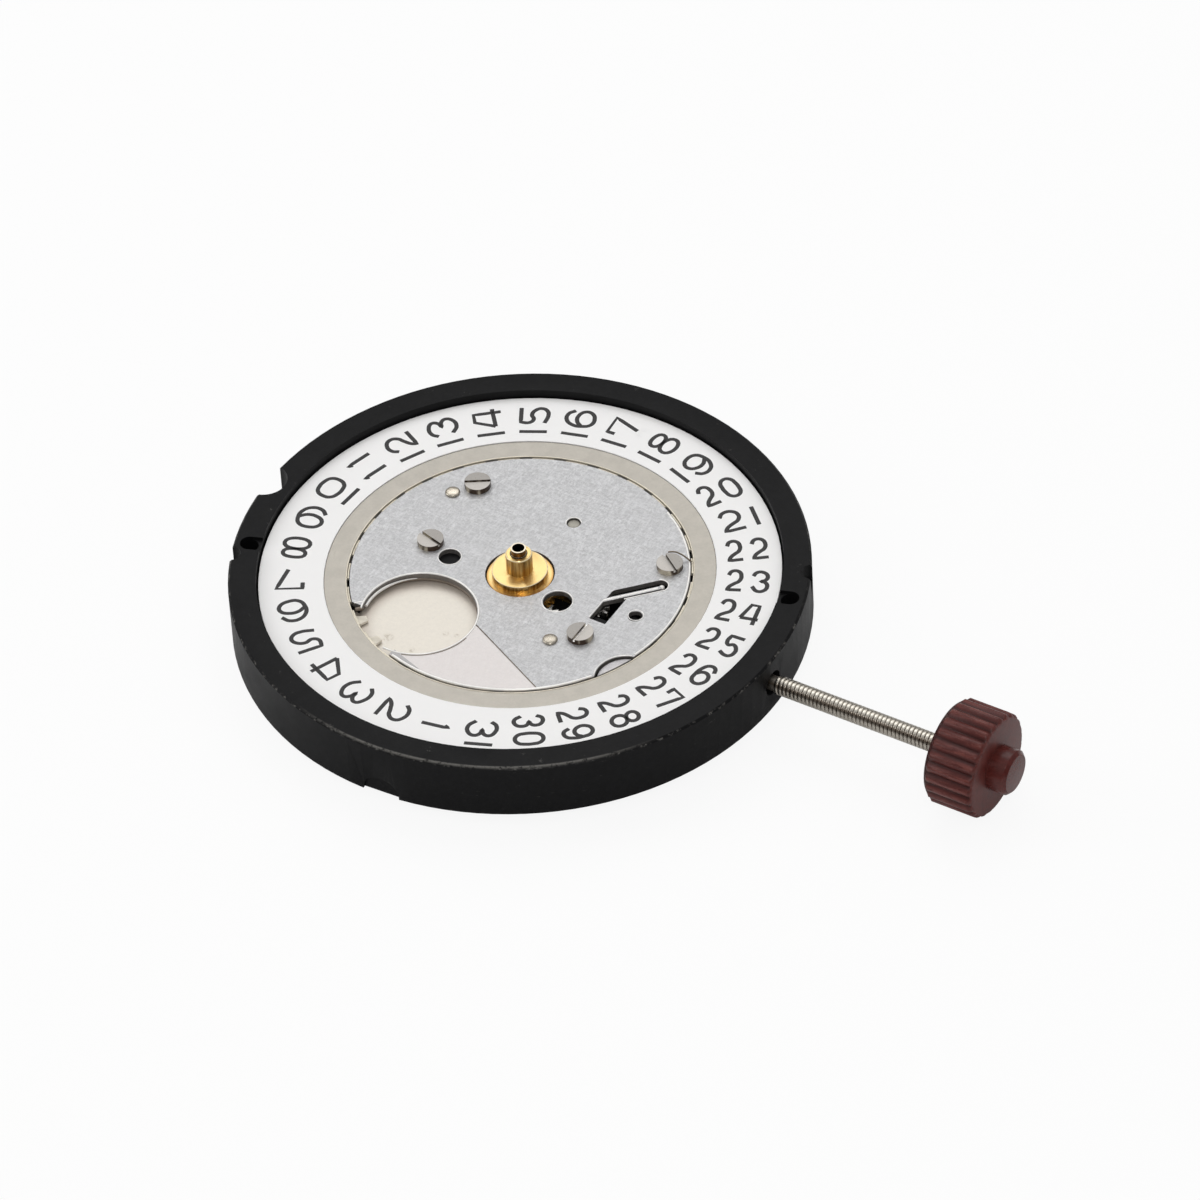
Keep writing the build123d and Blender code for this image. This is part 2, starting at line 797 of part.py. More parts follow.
def cover_sheet_section():
    """Round cover plate with its rim bite, opening and mouth, before the other holes."""
    section = Circle(cover_radius) - Circle(cover_centre_hole)
    mouth = outline([polar(share * cover_radius, angle) for share, angle in mouth_shares])
    bite = spot(polar(bite_share[0] * cover_radius, bite_share[1]), bite_radius)
    return section - spot(opening_place, opening_radius) - mouth - bite


def slot_and_tongue_section():
    """Slanted slot with the spring tongue left standing in it, and the window beside it."""
    inner = polar(slot_inner_share[0] * cover_radius, slot_inner_share[1])
    outer = polar(slot_outer_share[0] * cover_radius, slot_outer_share[1])
    low = [share * cover_radius for share in window_low_shares]
    high = [share * cover_radius for share in window_high_shares]
    window = Pos((low[0] + high[0]) / 2, (low[1] + high[1]) / 2) * Rectangle(
        high[0] - low[0], high[1] - low[1])
    slot = link(inner, outer, slot_width)
    lean = bearing(inner, outer)
    side = (slot_width - tongue_width) / 4
    root = from_place(from_place(inner, slot_width, lean + 180), side, lean - 90)
    tip = from_place(from_place(outer, tongue_width / 2, lean + 180), side, lean - 90)
    return (slot + window) - link(root, tip, tongue_width)


def cover_plate():
    """Metal plate that holds the date ring down."""
    section = cover_sheet_section() - share_face(seam_shares, cover_radius)
    for x, y, slot in cover_screw_places:
        section -= pin_outline((x, y), cover_screw_shank)
    for place in pin_places:
        section -= pin_outline(place, pin_shank_radius)
    section -= spot(polar(dark_hole_share[0] * cover_radius, dark_hole_share[1]), dark_hole_radius)
    section -= spot(polar(view_hole_share[0] * cover_radius, view_hole_share[1]), view_hole_radius)
    section -= spot((groove_place, 0), release_hole_radius)
    section -= spot(date_wheel_place, post_hole_radius)
    section -= slot_and_tongue_section()
    return slab(section, platform_level, cover_top_level)


def cell_side_plate():
    """Smaller plate south of the seam, beside the opening over the cell."""
    section = cover_sheet_section() & (Pos(0, -seam_gap) * share_face(seam_shares, cover_radius))
    return slab(section, platform_level, cover_top_level)


def cover_screws():
    slot = (cover_screw_slot_width, cover_screw_slot_depth)
    return Compound(children=[
        slotted_screw((x, y), turn, cover_screw_head, cover_top_level, cover_screw_head_top,
                      cover_screw_shank, platform_level - cover_screw_depth, slot, 1)
        for x, y, turn in cover_screw_places])


def locating_pins():
    return Compound(children=[
        ring(pin_radius, cover_top_level, pin_top, place)
        + pin(pin_shank_radius, platform_level - pin_depth, cover_top_level, place)
        for place in pin_places])


def date_ring():
    """Metal ring with inward teeth, set inside the printed band."""
    step = 360 / date_count
    points = []
    for tooth in range(date_count):
        middle = date_tooth_turn + tooth * step
        points.append(polar(date_ring_inner, middle - date_tooth_root_half_share * step))
        points.append(polar(date_tip_reach, middle - date_tooth_tip_half_share * step))
        points.append(polar(date_tip_reach, middle + date_tooth_tip_half_share * step))
        points.append(polar(date_ring_inner, middle + date_tooth_root_half_share * step))
    teeth = slab(Circle(date_band_inner) - outline(points), date_tooth_low, date_tooth_top)
    return teeth + ring(date_band_inner, date_tooth_top, date_ring_top, centre, date_ring_inner)


def date_band():
    """White printed disc round the metal ring."""
    return ring(date_band_outer, date_tooth_low + date_band_low_gap, date_band_top, centre,
                date_band_inner)


def date_wheel_turn():
    return mesh_turn(date_pinion_teeth, 0, date_wheel_teeth, date_wheel_angle)


def date_wheel():
    """Wheel of the calendar drive, once round in a day."""
    return spoked_gear(date_wheel_teeth, date_module, date_wheel_low, date_wheel_top,
                       date_wheel_place, date_wheel_turn(), post_radius + running_fit)


def date_finger():
    """Spring finger on the date wheel that pushes one tooth at midnight."""
    reach = date_tip_reach + date_finger_depth - date_wheel_reach
    hub = hub_share * date_module * date_wheel_teeth / 2
    half, tip = date_finger_width / 2, date_finger_tip_width / 2
    arm = outline([(0, -half), (reach - 2 * half, -half), (reach, -tip), (reach, tip),
                   (reach - 2 * half, half), (0, half)])
    section = (arm + pin_outline(centre, hub)) - pin_hole(centre, post_radius + running_fit)
    return slab(Pos(*date_wheel_place) * Rot(0, 0, date_finger_turn) * section,
                date_wheel_top, date_finger_top)


def date_jumper():
    section = jumper_section() + jumper_beak()
    section -= pin_outline(polar(jumper_root_reach, jumper_root_angle), post_radius)
    return slab(section, date_tooth_low - running_fit, date_tooth_top - running_fit)


def date_corrector():
    """Small star that turns the date ring when the crown is half pulled."""
    step = 360 / corrector_lobes
    points = []
    for lobe in range(corrector_lobes):
        points.append(polar(corrector_radius, lobe * step - step * tip_half_share))
        points.append(polar(corrector_radius, lobe * step + step * tip_half_share))
        points.append(polar(corrector_radius * corrector_lobe_share, (lobe + 0.5) * step))
    section = outline(points) - pin_hole(centre, post_radius + running_fit)
    return slab(Pos(*corrector_place) * section, date_tooth_low - running_fit,
                date_tooth_top - running_fit)


def hour_wheel():
    turn = mesh_turn(minute_pinion_teeth, 0, hour_teeth, minute_angle + 180)
    wheel = gear_section(hour_teeth, hour_module, turn) - Circle(hour_pipe_radius)
    return slab(wheel, hour_low, hour_low + hour_wheel_thick)


def hour_pipe():
    """Brass pipe that takes the hour hand, with its flange and the date pinion."""
    pipe = ring(hour_pipe_radius, hour_low, hour_pipe_top)
    pipe = chamfer(pipe.edges().filter_by(GeomType.CIRCLE).sort_by(Axis.Z)[-1], hour_pipe_chamfer)
    pinion = gear(date_pinion_teeth, date_module, date_pinion_low, platform_level - level_gap,
                  centre, 0)
    step = ring(hour_step_radius, platform_level - level_gap, hour_step_top)
    flange = ring(hour_flange_radius, hour_step_top, hour_flange_top)
    bore = ring(cannon_radius + running_fit, hour_low - overrun, hour_pipe_top + overrun)
    return pipe + flange + pinion + step - bore


def minute_turn():
    return mesh_turn(cannon_teeth, 0, minute_teeth, minute_angle)


def cannon_pinion():
    """Tube that takes the minute hand, a little tapered; its bore grips the centre wheel's tube."""
    seat_level = hour_pipe_top + running_fit
    tube = Pos(0, 0, cannon_low) * Cone(cannon_radius, cannon_neck_radius, seat_level - cannon_low,
                                        align=(Align.CENTER, Align.CENTER, Align.MIN))
    tube += ring(minute_seat_radius, seat_level, cannon_top)
    leaves = gear(cannon_teeth, motion_module, cannon_teeth_low, cannon_teeth_top, centre, 0)
    mouth_level = cannon_top - cannon_mouth_depth
    bore = slab(pin_hole(centre, centre_tube_radius + running_fit), cannon_low - overrun, mouth_level)
    mouth = ring(cannon_mouth_radius, mouth_level - overrun, cannon_top + overrun)
    return tube + leaves - bore - mouth


def minute_wheel():
    return spoked_gear(minute_teeth, motion_module, minute_low, minute_low + motion_wheel_thick,
                        minute_place, minute_turn(), post_radius + running_fit)


def minute_pinion():
    return gear(minute_pinion_teeth, hour_module, minute_low + motion_wheel_thick,
                minute_pinion_top, minute_place, 0, post_radius + running_fit)


def setting_wheel():
    direction = bearing(minute_place, setting_place)
    turn = mesh_turn(minute_teeth, minute_turn(), setting_teeth, direction)
    return gear(setting_teeth, motion_module, setting_wheel_low, setting_wheel_high,
                setting_place, turn, post_radius + running_fit)


def centre_wheel():
    section = gear_section(centre_teeth, centre_module, 0) - pin_outline(centre, centre_tube_radius)
    section -= spoke_windows(centre_module * centre_teeth / 2, 0)
    return slab(section, centre_low, centre_low + wheel_thick)


def centre_tube():
    """Tube of the centre wheel, through the bush and up inside the cannon pinion."""
    collar = pin(train_hub_radius, centre_low + wheel_thick, web_low_level - running_fit)
    tube = pin(centre_tube_radius, centre_low, centre_tube_top)
    bore = slab(pin_hole(centre, centre_tube_bore), centre_low - overrun, centre_tube_top + overrun)
    return collar + tube - bore


def second_turn():
    return mesh_turn(second_drive_leaves, 0, second_teeth, intermediate_angle + 180)


def second_wheel():
    section = gear_section(second_teeth, second_module, second_turn())
    section -= pin_outline(centre, second_arbor_radius)
    section -= spoke_windows(second_module * second_teeth / 2, 0)
    return slab(section, second_low, second_low + wheel_thick)


def second_arbor():
    """Long arbor of the seconds hand, with the pinion that drives the third wheel."""
    seat_level = second_arbor_top - second_seat_length
    arbor = pin(second_arbor_radius, train_arbor_low, seat_level)
    arbor += ring(second_seat_radius, seat_level, second_arbor_top)
    low = second_low + wheel_thick
    top = centre_low - level_gap
    return arbor + gear(second_leaves, third_module, low, top, centre, 0)


def third_turn():
    return mesh_turn(second_leaves, 0, third_teeth, third_angle)


def third_wheel():
    return arbor_wheel(third_teeth, third_module, third_place, third_turn())


def arbor_wheel(teeth, module, place, turn):
    """Wheel of the third level, fixed on its arbor."""
    section = gear_section(teeth, module, turn) - pin_outline(centre, train_arbor_radius)
    section -= spoke_windows(module * teeth / 2, turn)
    return slab(Pos(*place) * section, third_low, third_low + wheel_thick)


def train_arbor(place, radius):
    return pin(radius, train_arbor_low, web_low_level + train_pivot_depth, place)


def third_pinion():
    turn = mesh_turn(centre_teeth, 0, third_leaves, third_angle)
    leaves = gear(third_leaves, centre_module, third_low + wheel_thick, web_low_level - level_gap,
                  third_place, turn)
    return train_arbor(third_place, train_arbor_radius) + leaves


def intermediate_wheel():
    return arbor_wheel(intermediate_teeth, rotor_module, intermediate_place, 0)


def intermediate_pinion():
    leaves = gear(second_drive_leaves, second_module, second_low - running_fit, third_low,
                  intermediate_place, 0)
    return train_arbor(intermediate_place, train_arbor_radius) + leaves


def rotor_pinion():
    turn = mesh_turn(intermediate_teeth, 0, rotor_leaves, rotor_angle)
    leaves = gear(rotor_leaves, rotor_module, third_low - running_fit,
                  web_low_level - level_gap / 2 - rotor_height, rotor_place, turn)
    return train_arbor(rotor_place, rotor_arbor_radius) + leaves


def rotor_magnet():
    high = web_low_level - level_gap / 2
    section = pocket(rotor_place, rotor_radius) - pin_outline(rotor_place, rotor_arbor_radius)
    return slab(section, high - rotor_height, high)


def stator():
    """Magnetic plate round the rotor, with two notches that set its rest position."""
    section = stator_section() - pocket(rotor_place, rotor_radius + stator_air_gap)
    for side in (-1, 1):
        notch = from_place(rotor_place, rotor_radius + stator_air_gap, motor_angle + 45 + side * 90)
        section -= pin_outline(notch, stator_notch_radius)
        neck = from_place(rotor_place, side * (stator_width / 2 + stator_notch_radius), motor_angle)
        section -= pin_outline(neck, stator_neck)
    for place in motor_screw_places():
        section -= pin_outline(place, motor_screw_radius)
    return slab(section, stator_low, web_low_level)


def motor_screw_places():
    along = coil_length / 2 + arm_width / 2 + side_gap
    return [motor_frame(coil_reach, side * along) for side in (-1, 1)]


def core_ends():
    return coil_length / 2 + arm_width + side_gap


def coil_core():
    """Flat bar through the coil, whose wider ends lie on the stator's arms."""
    section = motor_box(coil_reach, 0, core_width, 2 * core_ends())
    for place in motor_screw_places():
        section -= pin_outline(place, motor_screw_radius)
    return slab(section, stator_low - core_thick, stator_low)


def lying_tube(reach, along, section, length, level):
    """Section drawn out parallel to the coil."""
    place = motor_frame(reach, along - length / 2)
    turn = Pos(place[0], place[1], level) * Rot(0, 0, motor_angle - 90) * Rot(0, 90, 0)
    return turn * extrude(section, length)


def core_bar():
    section = motor_box(coil_reach, 0, core_width, coil_length + overrun)
    return slab(section, stator_low - core_thick, stator_low)


def coil_bobbin():
    """Two flanges joined by a thin sleeve round the core."""
    shift = (coil_length - coil_flange_thick) / 2
    sleeve = RegularPolygon(bobbin_sleeve(), pin_sides)
    parts = lying_tube(coil_reach, 0, sleeve, coil_length, coil_level)
    for side in (-1, 1):
        parts += lying_tube(coil_reach, side * shift, Circle(coil_flange_radius), coil_flange_thick,
                            coil_level)
    return parts - core_bar()


def bobbin_sleeve():
    return hypot(core_width / 2, coil_level - stator_low + core_thick) + wheel_thick / 2


def coil_winding():
    section = Circle(coil_radius) - RegularPolygon(bobbin_sleeve(), pin_sides)
    return lying_tube(coil_reach, 0, section, coil_length - 2 * coil_flange_thick, coil_level)


def motor_screws():
    """Two screws that hold the core's ends against the stator."""
    return Compound(children=[
        pin(core_width / 2, back_seat_level + running_fit, stator_low - core_thick, place)
        + pin(motor_screw_radius, stator_low - core_thick, web_low_level + train_pivot_depth, place)
        for place in motor_screw_places()])


def cell_can():
    """Positive can of the cell, a cup that faces the dial side."""
    high = cell_ceiling - cell_cap_drop
    can = ring(cell_radius, cell_low, high, cell_place)
    can = chamfer(can.edges().filter_by(GeomType.CIRCLE).sort_by(Axis.Z)[0], cell_corner)
    return can - ring(cell_cap_radius + cell_gasket_width, cell_low + cell_wall, high + overrun,
                      cell_place)


def cell_gasket():
    return ring(cell_cap_radius + cell_gasket_width, cell_low + cell_wall,
                cell_ceiling - cell_cap_drop + level_gap, cell_place, cell_cap_radius)


def cell_cap():
    """Negative cap of the cell, which shows through the cover plate's opening."""
    cap = ring(cell_cap_radius, cell_low + cell_wall, cell_ceiling, cell_place)
    return chamfer(cap.edges().filter_by(GeomType.CIRCLE).sort_by(Axis.Z)[-1], cell_corner / 2)


def cell_face_disc():
    """Pale contact disc on the cell's cap, which fills the cover plate's opening."""
    return slab(cell_face_section(), cell_ceiling, date_tooth_low - sliding_fit)


def contact_section(margin=0):
    """Leaf spring against the side of the cell, with a foot that turns away from it."""
    touch = from_place(cell_place, cell_radius + contact_thick / 2, contact_angle)
    end = from_place(touch, contact_length / 2, contact_angle + 90)
    start = from_place(touch, contact_length / 2, contact_angle - 90)
    heel = from_place(end, contact_length / 2, contact_angle)
    wide = contact_thick + 2 * margin
    return bar(start, end, wide, wide / 2) + bar(end, heel, wide, wide / 2)


def positive_contact():
    return slab(contact_section(), back_seat_level, back_seat_level + contact_height)


def strip_section():
    """Outline of the strip that touches the cell's cap."""
    inner, outer = strip_inner_share * cell_radius, strip_outer_share * cell_radius
    middle = from_place(cell_place, (inner + outer) / 2, strip_angle)
    return Pos(*middle) * Rot(0, 0, strip_angle) * Rectangle(outer - inner, strip_width)


def strip_leg_section():
    outer = strip_outer_share * cell_radius - contact_thick / 2
    place = from_place(cell_place, outer, strip_angle)
    return Pos(*place) * Rot(0, 0, strip_angle) * Rectangle(contact_thick, strip_width)


def negative_contact():
    flat = slab(strip_section(), cell_ceiling, cell_ceiling + strip_thick)
    return flat + slab(strip_leg_section(), back_seat_level, cell_ceiling)


def bridge_bearings():
    return [(centre, second_arbor_radius), (third_place, train_arbor_radius),
            (intermediate_place, train_arbor_radius), (rotor_place, rotor_arbor_radius)]


def train_bridge():
    """Back plate that carries the lower pivots of the going train."""
    section = Circle(bridge_radius) - spot(cell_place, cell_radius + cell_gap + cell_wall)
    for x, y, slot in bridge_screws:
        section -= pin_outline((x, y), back_screw_shank)
    for place, radius in bridge_bearings():
        section -= pin_hole(place, radius + running_fit)
    return slab(section, back_face_level, back_seat_level)


def module_cover():
    """Sheet over the coil and the electronics, with windows for the coil and the crystal can."""
    section = Circle(back_recess_radius - module_outer_gap) - Circle(bridge_radius + back_plate_gap)
    section -= spot(cell_place, cell_radius + cell_gap + cell_wall)
    section -= motor_box(coil_reach, 0, 2 * coil_radius, coil_length + 2 * side_gap)
    section -= Pos(*can_place) * Rot(0, 0, can_angle) * Rectangle(
        2 * can_radius, can_length - window_margin)
    for x, y, slot in module_screws:
        section -= pin_outline((x, y), back_screw_shank)
    return slab(section, back_face_level, back_seat_level)


def back_screws(places):
    slot = (back_screw_slot_width, back_screw_slot_depth)
    return Compound(children=[
        slotted_screw((x, y), turn, back_screw_head, back_face_level - back_screw_head_height,
                      back_face_level, back_screw_shank, back_seat_level + back_screw_depth, slot, -1)
        for x, y, turn in places])


def circuit_board():
    section = sector(board_inner, board_outer, board_start + board_end_gap, board_end - board_end_gap)
    for x, y, slot in module_screws:
        section -= pin_hole((x, y), back_screw_shank + board_gap)
    high = back_seat_level + board_recess
    return slab(section, high - board_thick, high)


def circuit_chip():
    section = Pos(*polar(chip_reach, chip_angle)) * Rot(0, 0, chip_angle) * Rectangle(
        chip_size, chip_size)
    low = back_seat_level + board_recess
    return slab(section, low, low + chip_height)


def crystal_can():
    """Quartz crystal in its metal can, with two leads at one end."""
    along = Pos(can_place[0], can_place[1], can_level) * Rot(0, 0, can_angle - 90) * Rot(0, 90, 0)
    can = along * Cylinder(can_radius, can_length)
    for side in (-1, 1):
        lead = extrude(pin_outline((0, side * can_lead_spread), can_lead_radius), can_lead_length)
        can += along * Pos(0, 0, can_length / 2) * lead
    return can


def stem_axis():
    return Pos(0, 0, stem_level) * Rot(0, 90, 0)


def stem_part(section, start, end):
    return Pos(0, 0, start) * extrude(section, end - start)


def stem():
    """Winding stem: square end, bearing part with the lever's groove, then the threaded part."""
    groove_start = groove_place - groove_width / 2
    groove_end = groove_place + groove_width / 2
    bearing_end = ring_radius - stem_exit_depth
    square = Rectangle(stem_square, stem_square)
    bearing_part = pin_outline(centre, stem_radius)
    rod = stem_part(square, stem_inner_end, stem_square_end)
    rod += stem_part(bearing_part, stem_square_end, groove_start)
    rod += stem_part(pin_outline(centre, groove_radius), groove_start, groove_end)
    rod += stem_part(bearing_part, groove_end, bearing_end)
    rod += stem_part(Circle(stem_radius), bearing_end, stem_thread_start)
    rod += stem_part(Circle(stem_thread_radius), stem_thread_start, crown_start + crown_socket_depth)
    return stem_axis() * rod


def crown_section():
    step = 360 / crown_ribs
    root = crown_radius - crown_rib_depth
    half = crown_rib_share / 2
    points = []
    for rib in range(crown_ribs):
        middle = rib * step
        points.append(polar(root, middle - half * step))
        points.append(polar(crown_radius, middle - half * step * (1 - tip_half_share)))
        points.append(polar(crown_radius, middle + half * step * (1 - tip_half_share)))
        points.append(polar(root, middle + half * step))
    return outline(points)


def crown():
    """Setting crown of moulded plastic, ribbed, with a round boss on its outer face."""
    inner = crown_radius - crown_rib_depth - crown_edge_chamfer
    length = crown_body_length
    ribbed = Pos(0, 0, crown_start) * extrude(crown_section(), length)
    slope = crown_radius / crown_edge_chamfer
    trim = Pos(0, 0, crown_start) * Cone(
        inner, inner + slope * length, slope * length,
        align=(Align.CENTER, Align.CENTER, Align.MIN))
    boss = stem_part(Circle(crown_boss_radius), crown_start + length / 2,
                     crown_start + length + crown_boss_length)
    boss = chamfer(boss.edges().filter_by(GeomType.CIRCLE).sort_by(Axis.Z)[-1], crown_boss_chamfer)
    socket = stem_part(Circle(stem_thread_radius), crown_start - overrun,
                       crown_start + crown_socket_depth)
    return stem_axis() * ((ribbed & trim) + boss - socket)


def sliding_pinion():
    """Clutch on the stem's square: face teeth inboard and a groove for the yoke."""
    end = clutch_start + clutch_length
    groove_end = end - clutch_collar
    groove_start = groove_end - clutch_groove_width
    body = stem_part(pocket(centre, clutch_radius), clutch_start, groove_start)
    body += stem_part(pocket(centre, clutch_groove_radius), groove_start, groove_end)
    body += stem_part(pocket(centre, clutch_radius), groove_end, end)
    hole = stem_square + 2 * running_fit
    body -= stem_part(Rectangle(hole, hole), clutch_start - overrun, end + overrun)
    wide = 2 * pi * clutch_radius / clutch_teeth * clutch_tooth_wide_share
    cut = Pos(clutch_radius, 0) * Rectangle(clutch_radius * clutch_tooth_deep_share, wide)
    gaps = [Rot(0, 0, tooth * 360 / clutch_teeth) * cut for tooth in range(clutch_teeth)]
    return stem_axis() * (body - [stem_part(gap, clutch_start - overrun,
                                            clutch_start + clutch_tooth_length) for gap in gaps])


def setting_lever():
    low = stem_level - lever_thick / 2
    section = lever_section() - pin_hole(lever_pivot, post_radius + running_fit)
    return slab(section, low, low + lever_thick)


def yoke():
    low = stem_level - lever_thick / 2
    section = yoke_section() - pin_hole(yoke_pivot, post_radius + running_fit)
    return slab(section, low, low + lever_thick)


PIECES = {
    "main_plate": main_plate,
    "steel_posts": steel_posts,
    "centre_bush": centre_bush,
    "cover_plate": cover_plate,
    "cell_side_plate": cell_side_plate,
    "cover_screws": cover_screws,
    "locating_pins": locating_pins,
    "date_ring": date_ring,
    "date_band": date_band,
    "date_wheel": date_wheel,
    "date_finger": date_finger,
    "date_jumper": date_jumper,
    "date_corrector": date_corrector,
    "hour_wheel": hour_wheel,
    "hour_pipe": hour_pipe,
    "cannon_pinion": cannon_pinion,
    "minute_wheel": minute_wheel,
    "minute_pinion": minute_pinion,
    "setting_wheel": setting_wheel,
    "centre_wheel": centre_wheel,
    "centre_tube": centre_tube,
    "second_wheel": second_wheel,
    "second_arbor": second_arbor,
    "third_wheel": third_wheel,
    "third_pinion": third_pinion,
    "intermediate_wheel": intermediate_wheel,
    "intermediate_pinion": intermediate_pinion,
    "rotor_pinion": rotor_pinion,
    "rotor_magnet": rotor_magnet,
    "stator": stator,
    "coil_core": coil_core,
    "coil_bobbin": coil_bobbin,
    "coil_winding": coil_winding,
    "motor_screws": motor_screws,
    "cell_can": cell_can,
    "cell_gasket": cell_gasket,
    "cell_cap": cell_cap,
    "cell_face_disc": cell_face_disc,
    "positive_contact": positive_contact,
    "negative_contact": negative_contact,
    "train_bridge": train_bridge,
    "module_cover": module_cover,
    "bridge_screws": lambda: back_screws(bridge_screws),
    "module_screws": lambda: back_screws(module_screws),
    "circuit_board": circuit_board,
    "circuit_chip": circuit_chip,
    "crystal_can": crystal_can,
    "stem": stem,
    "crown": crown,
    "sliding_pinion": sliding_pinion,
    "setting_lever": setting_lever,
    "yoke": yoke,
}

os.makedirs("parts", exist_ok=True)
for name, make in PIECES.items():
    export_step(make(), f"parts/{name}.step")
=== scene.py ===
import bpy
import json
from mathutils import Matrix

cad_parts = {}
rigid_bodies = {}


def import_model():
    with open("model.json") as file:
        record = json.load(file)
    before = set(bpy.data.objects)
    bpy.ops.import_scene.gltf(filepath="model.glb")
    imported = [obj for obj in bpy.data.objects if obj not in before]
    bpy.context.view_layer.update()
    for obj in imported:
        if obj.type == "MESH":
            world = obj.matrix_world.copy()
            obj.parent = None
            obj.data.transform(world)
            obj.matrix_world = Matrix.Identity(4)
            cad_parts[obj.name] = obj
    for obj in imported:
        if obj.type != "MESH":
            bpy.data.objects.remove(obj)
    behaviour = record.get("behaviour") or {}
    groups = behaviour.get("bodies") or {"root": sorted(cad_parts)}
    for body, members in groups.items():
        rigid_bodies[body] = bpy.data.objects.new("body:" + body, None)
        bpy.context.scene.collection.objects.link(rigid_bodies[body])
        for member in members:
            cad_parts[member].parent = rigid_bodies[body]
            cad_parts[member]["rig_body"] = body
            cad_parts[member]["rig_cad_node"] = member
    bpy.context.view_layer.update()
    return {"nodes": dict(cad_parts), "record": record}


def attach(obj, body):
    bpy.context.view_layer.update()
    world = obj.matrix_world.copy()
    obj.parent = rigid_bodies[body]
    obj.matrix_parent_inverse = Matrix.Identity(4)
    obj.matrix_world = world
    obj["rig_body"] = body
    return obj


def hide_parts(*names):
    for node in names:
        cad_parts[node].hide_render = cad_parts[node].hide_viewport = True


bl_info = {
    "name": "Quartz watch movement",
    "version": (1, 0, 0),
    "blender": (4, 5, 0),
    "location": "View3D > Sidebar > Movement",
    "description": "Finishes the pieces of a quartz watch movement and sets them on a pale floor",
    "category": "Object",
}

import json
import math

import bmesh
import bpy
from bpy.types import Operator, Panel, PropertyGroup
from mathutils import Matrix, Vector

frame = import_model()

MM = 0.001
Z_AXIS = Vector((0, 0, 1))

# Widths of the soft edges
GEAR_EDGE = 0.008 * MM
ARBOR_EDGE = 0.01 * MM
SPRING_EDGE = 0.012 * MM
TUBE_EDGE = 0.02 * MM
PIN_EDGE = 0.03 * MM
SCREW_EDGE = 0.05 * MM
PLATE_EDGE = 0.065 * MM
CROWN_EDGE = 0.07 * MM
CAN_EDGE = 0.08 * MM
CAP_EDGE = 0.10 * MM
# How near corners are joined, in new pieces and in the frame's; how flat a whole face is and how
# long a step of an arc is, in degrees
WELD = 0.0005 * MM
FRAME_WELD = 0.0004 * MM
FLAT_TURN = 0.4
ARC_STEP = 8

# All that follows, up to the stage, is in millimetres and degrees.
# Places that pieces share with the movement
BAND_TOP = 2.38
PLATE_TOP = 2.33
PLATE_RADIUS = 7.60
STEM_LEVEL = 1.42
CELL_CENTRE = (-3.665, -6.197)
OPENING = (-2.601, -4.398)

# Marks and wear, with the middle of a painted shadow on the cell's face and the front of a painted
# highlight on the lip: places with their reach
CELL_MARKS = [(-1.14, -4.57, 0.22), (-3.27, -6.01, 0.35), (-0.62, -4.45, 0.16), (-1.9, -6.2, 0.2)]
CELL_SHADE = (-2.36, -4.62, 0)
BAND_SMEAR = (0.1, 10.6, 2.38)
LIP_FRONT = (4.6, -12.2, 2.8)
# The cover plate's screws: place, the slot's turn and how much painted highlight the slot has
SCREWS = [(-4.729, 4.082, 32, 0.0), (-4.610, -0.177, -15, 0.0), (4.518, -2.263, 90, 1.0),
          (5.728, 3.524, -35, 0.0)]

# Arcs of painted highlight and painted shade along edges: centre, radius, level, first and last
# angle, half thickness, knots of the taper
EDGE_ARCS = [
    (OPENING, 2.66, 2.325, -95, 200, 0.045), (OPENING, 2.545, 2.12, 124, 192, 0.07, 4),
    ((2.439, -0.80), 0.70, 2.33, 0, 360, 0.028), ((0.399, 4.0), 0.345, 2.33, 30, 220, 0.03),
    ((-3.36, -0.562), 0.53, 2.33, 0, 360, 0.022), ((6.011, 0.069), 0.345, 2.33, 0, 360, 0.022),
    ((0, 0), PLATE_RADIUS, 2.322, -107, -34, 0.065),
    ((0, 0), PLATE_RADIUS, 2.322, -16.5, 60, 0.05),
    ((7.64, -3.62), 1.405, 2.33, 108, 202, 0.035), ((5.98, 2.26), 0.375, 2.33, -44, 130, 0.03),
]
# Painted highlights on the hour pipe's rims
BRASS_ARCS = [((0, 0), 1.243, 2.592, 0, 360, 0.024), ((0, 0), 0.572, 3.520, 0, 360, 0.024)]
# Painted shade in the cell's opening, and a painted shadow line beyond its near rim
OPENING_SHADE_ARC = (OPENING, 2.66, 1.97, -60, 188, 0.08)
SHADE_ARC = (OPENING, 2.735, 2.335, -75, -8, 0.018)
# A painted highlight along the date ring's inner edge
RING_ARC = ((0, 0), 7.81, 2.33, 0, 360, 0.03)
# Straight lines: painted highlights along edges, painted shade at the cell's mouth and along the
# seam, and the jumper's wire; their points and half thickness
EDGE_LINES = [
    ([(4.23, -1.04, 2.33), (4.23, 0.24, 2.33)], 0.03),
    ([(5.00, 0.73, 2.33), (6.24, 2.00, 2.33)], 0.03),
    ([(-5.25, -4.93, 2.33), (-5.53, -5.19, 2.33)], 0.035),
    ([(4.23, 0.24, 2.29), (5.96, 2.06, 2.29)], 0.075),
]
# Painted shade at the cell's mouth and along the seam between the plates
MOUTH_LINE = ([(-5.11, -5.14, 2.17), (-5.36, -5.39, 2.17)], 0.09)
SEAM_LINE = ([(0.10, -3.86, 2.285), (4.50, -6.02, 2.285)], 0.035)
WIRE_LINE = ([(5.33, 4.07, 2.62), (5.60, 4.20, 2.64), (5.88, 4.235, 2.60), (6.28, 4.25, 2.43),
              (6.43, 4.27, 2.32)], 0.035)
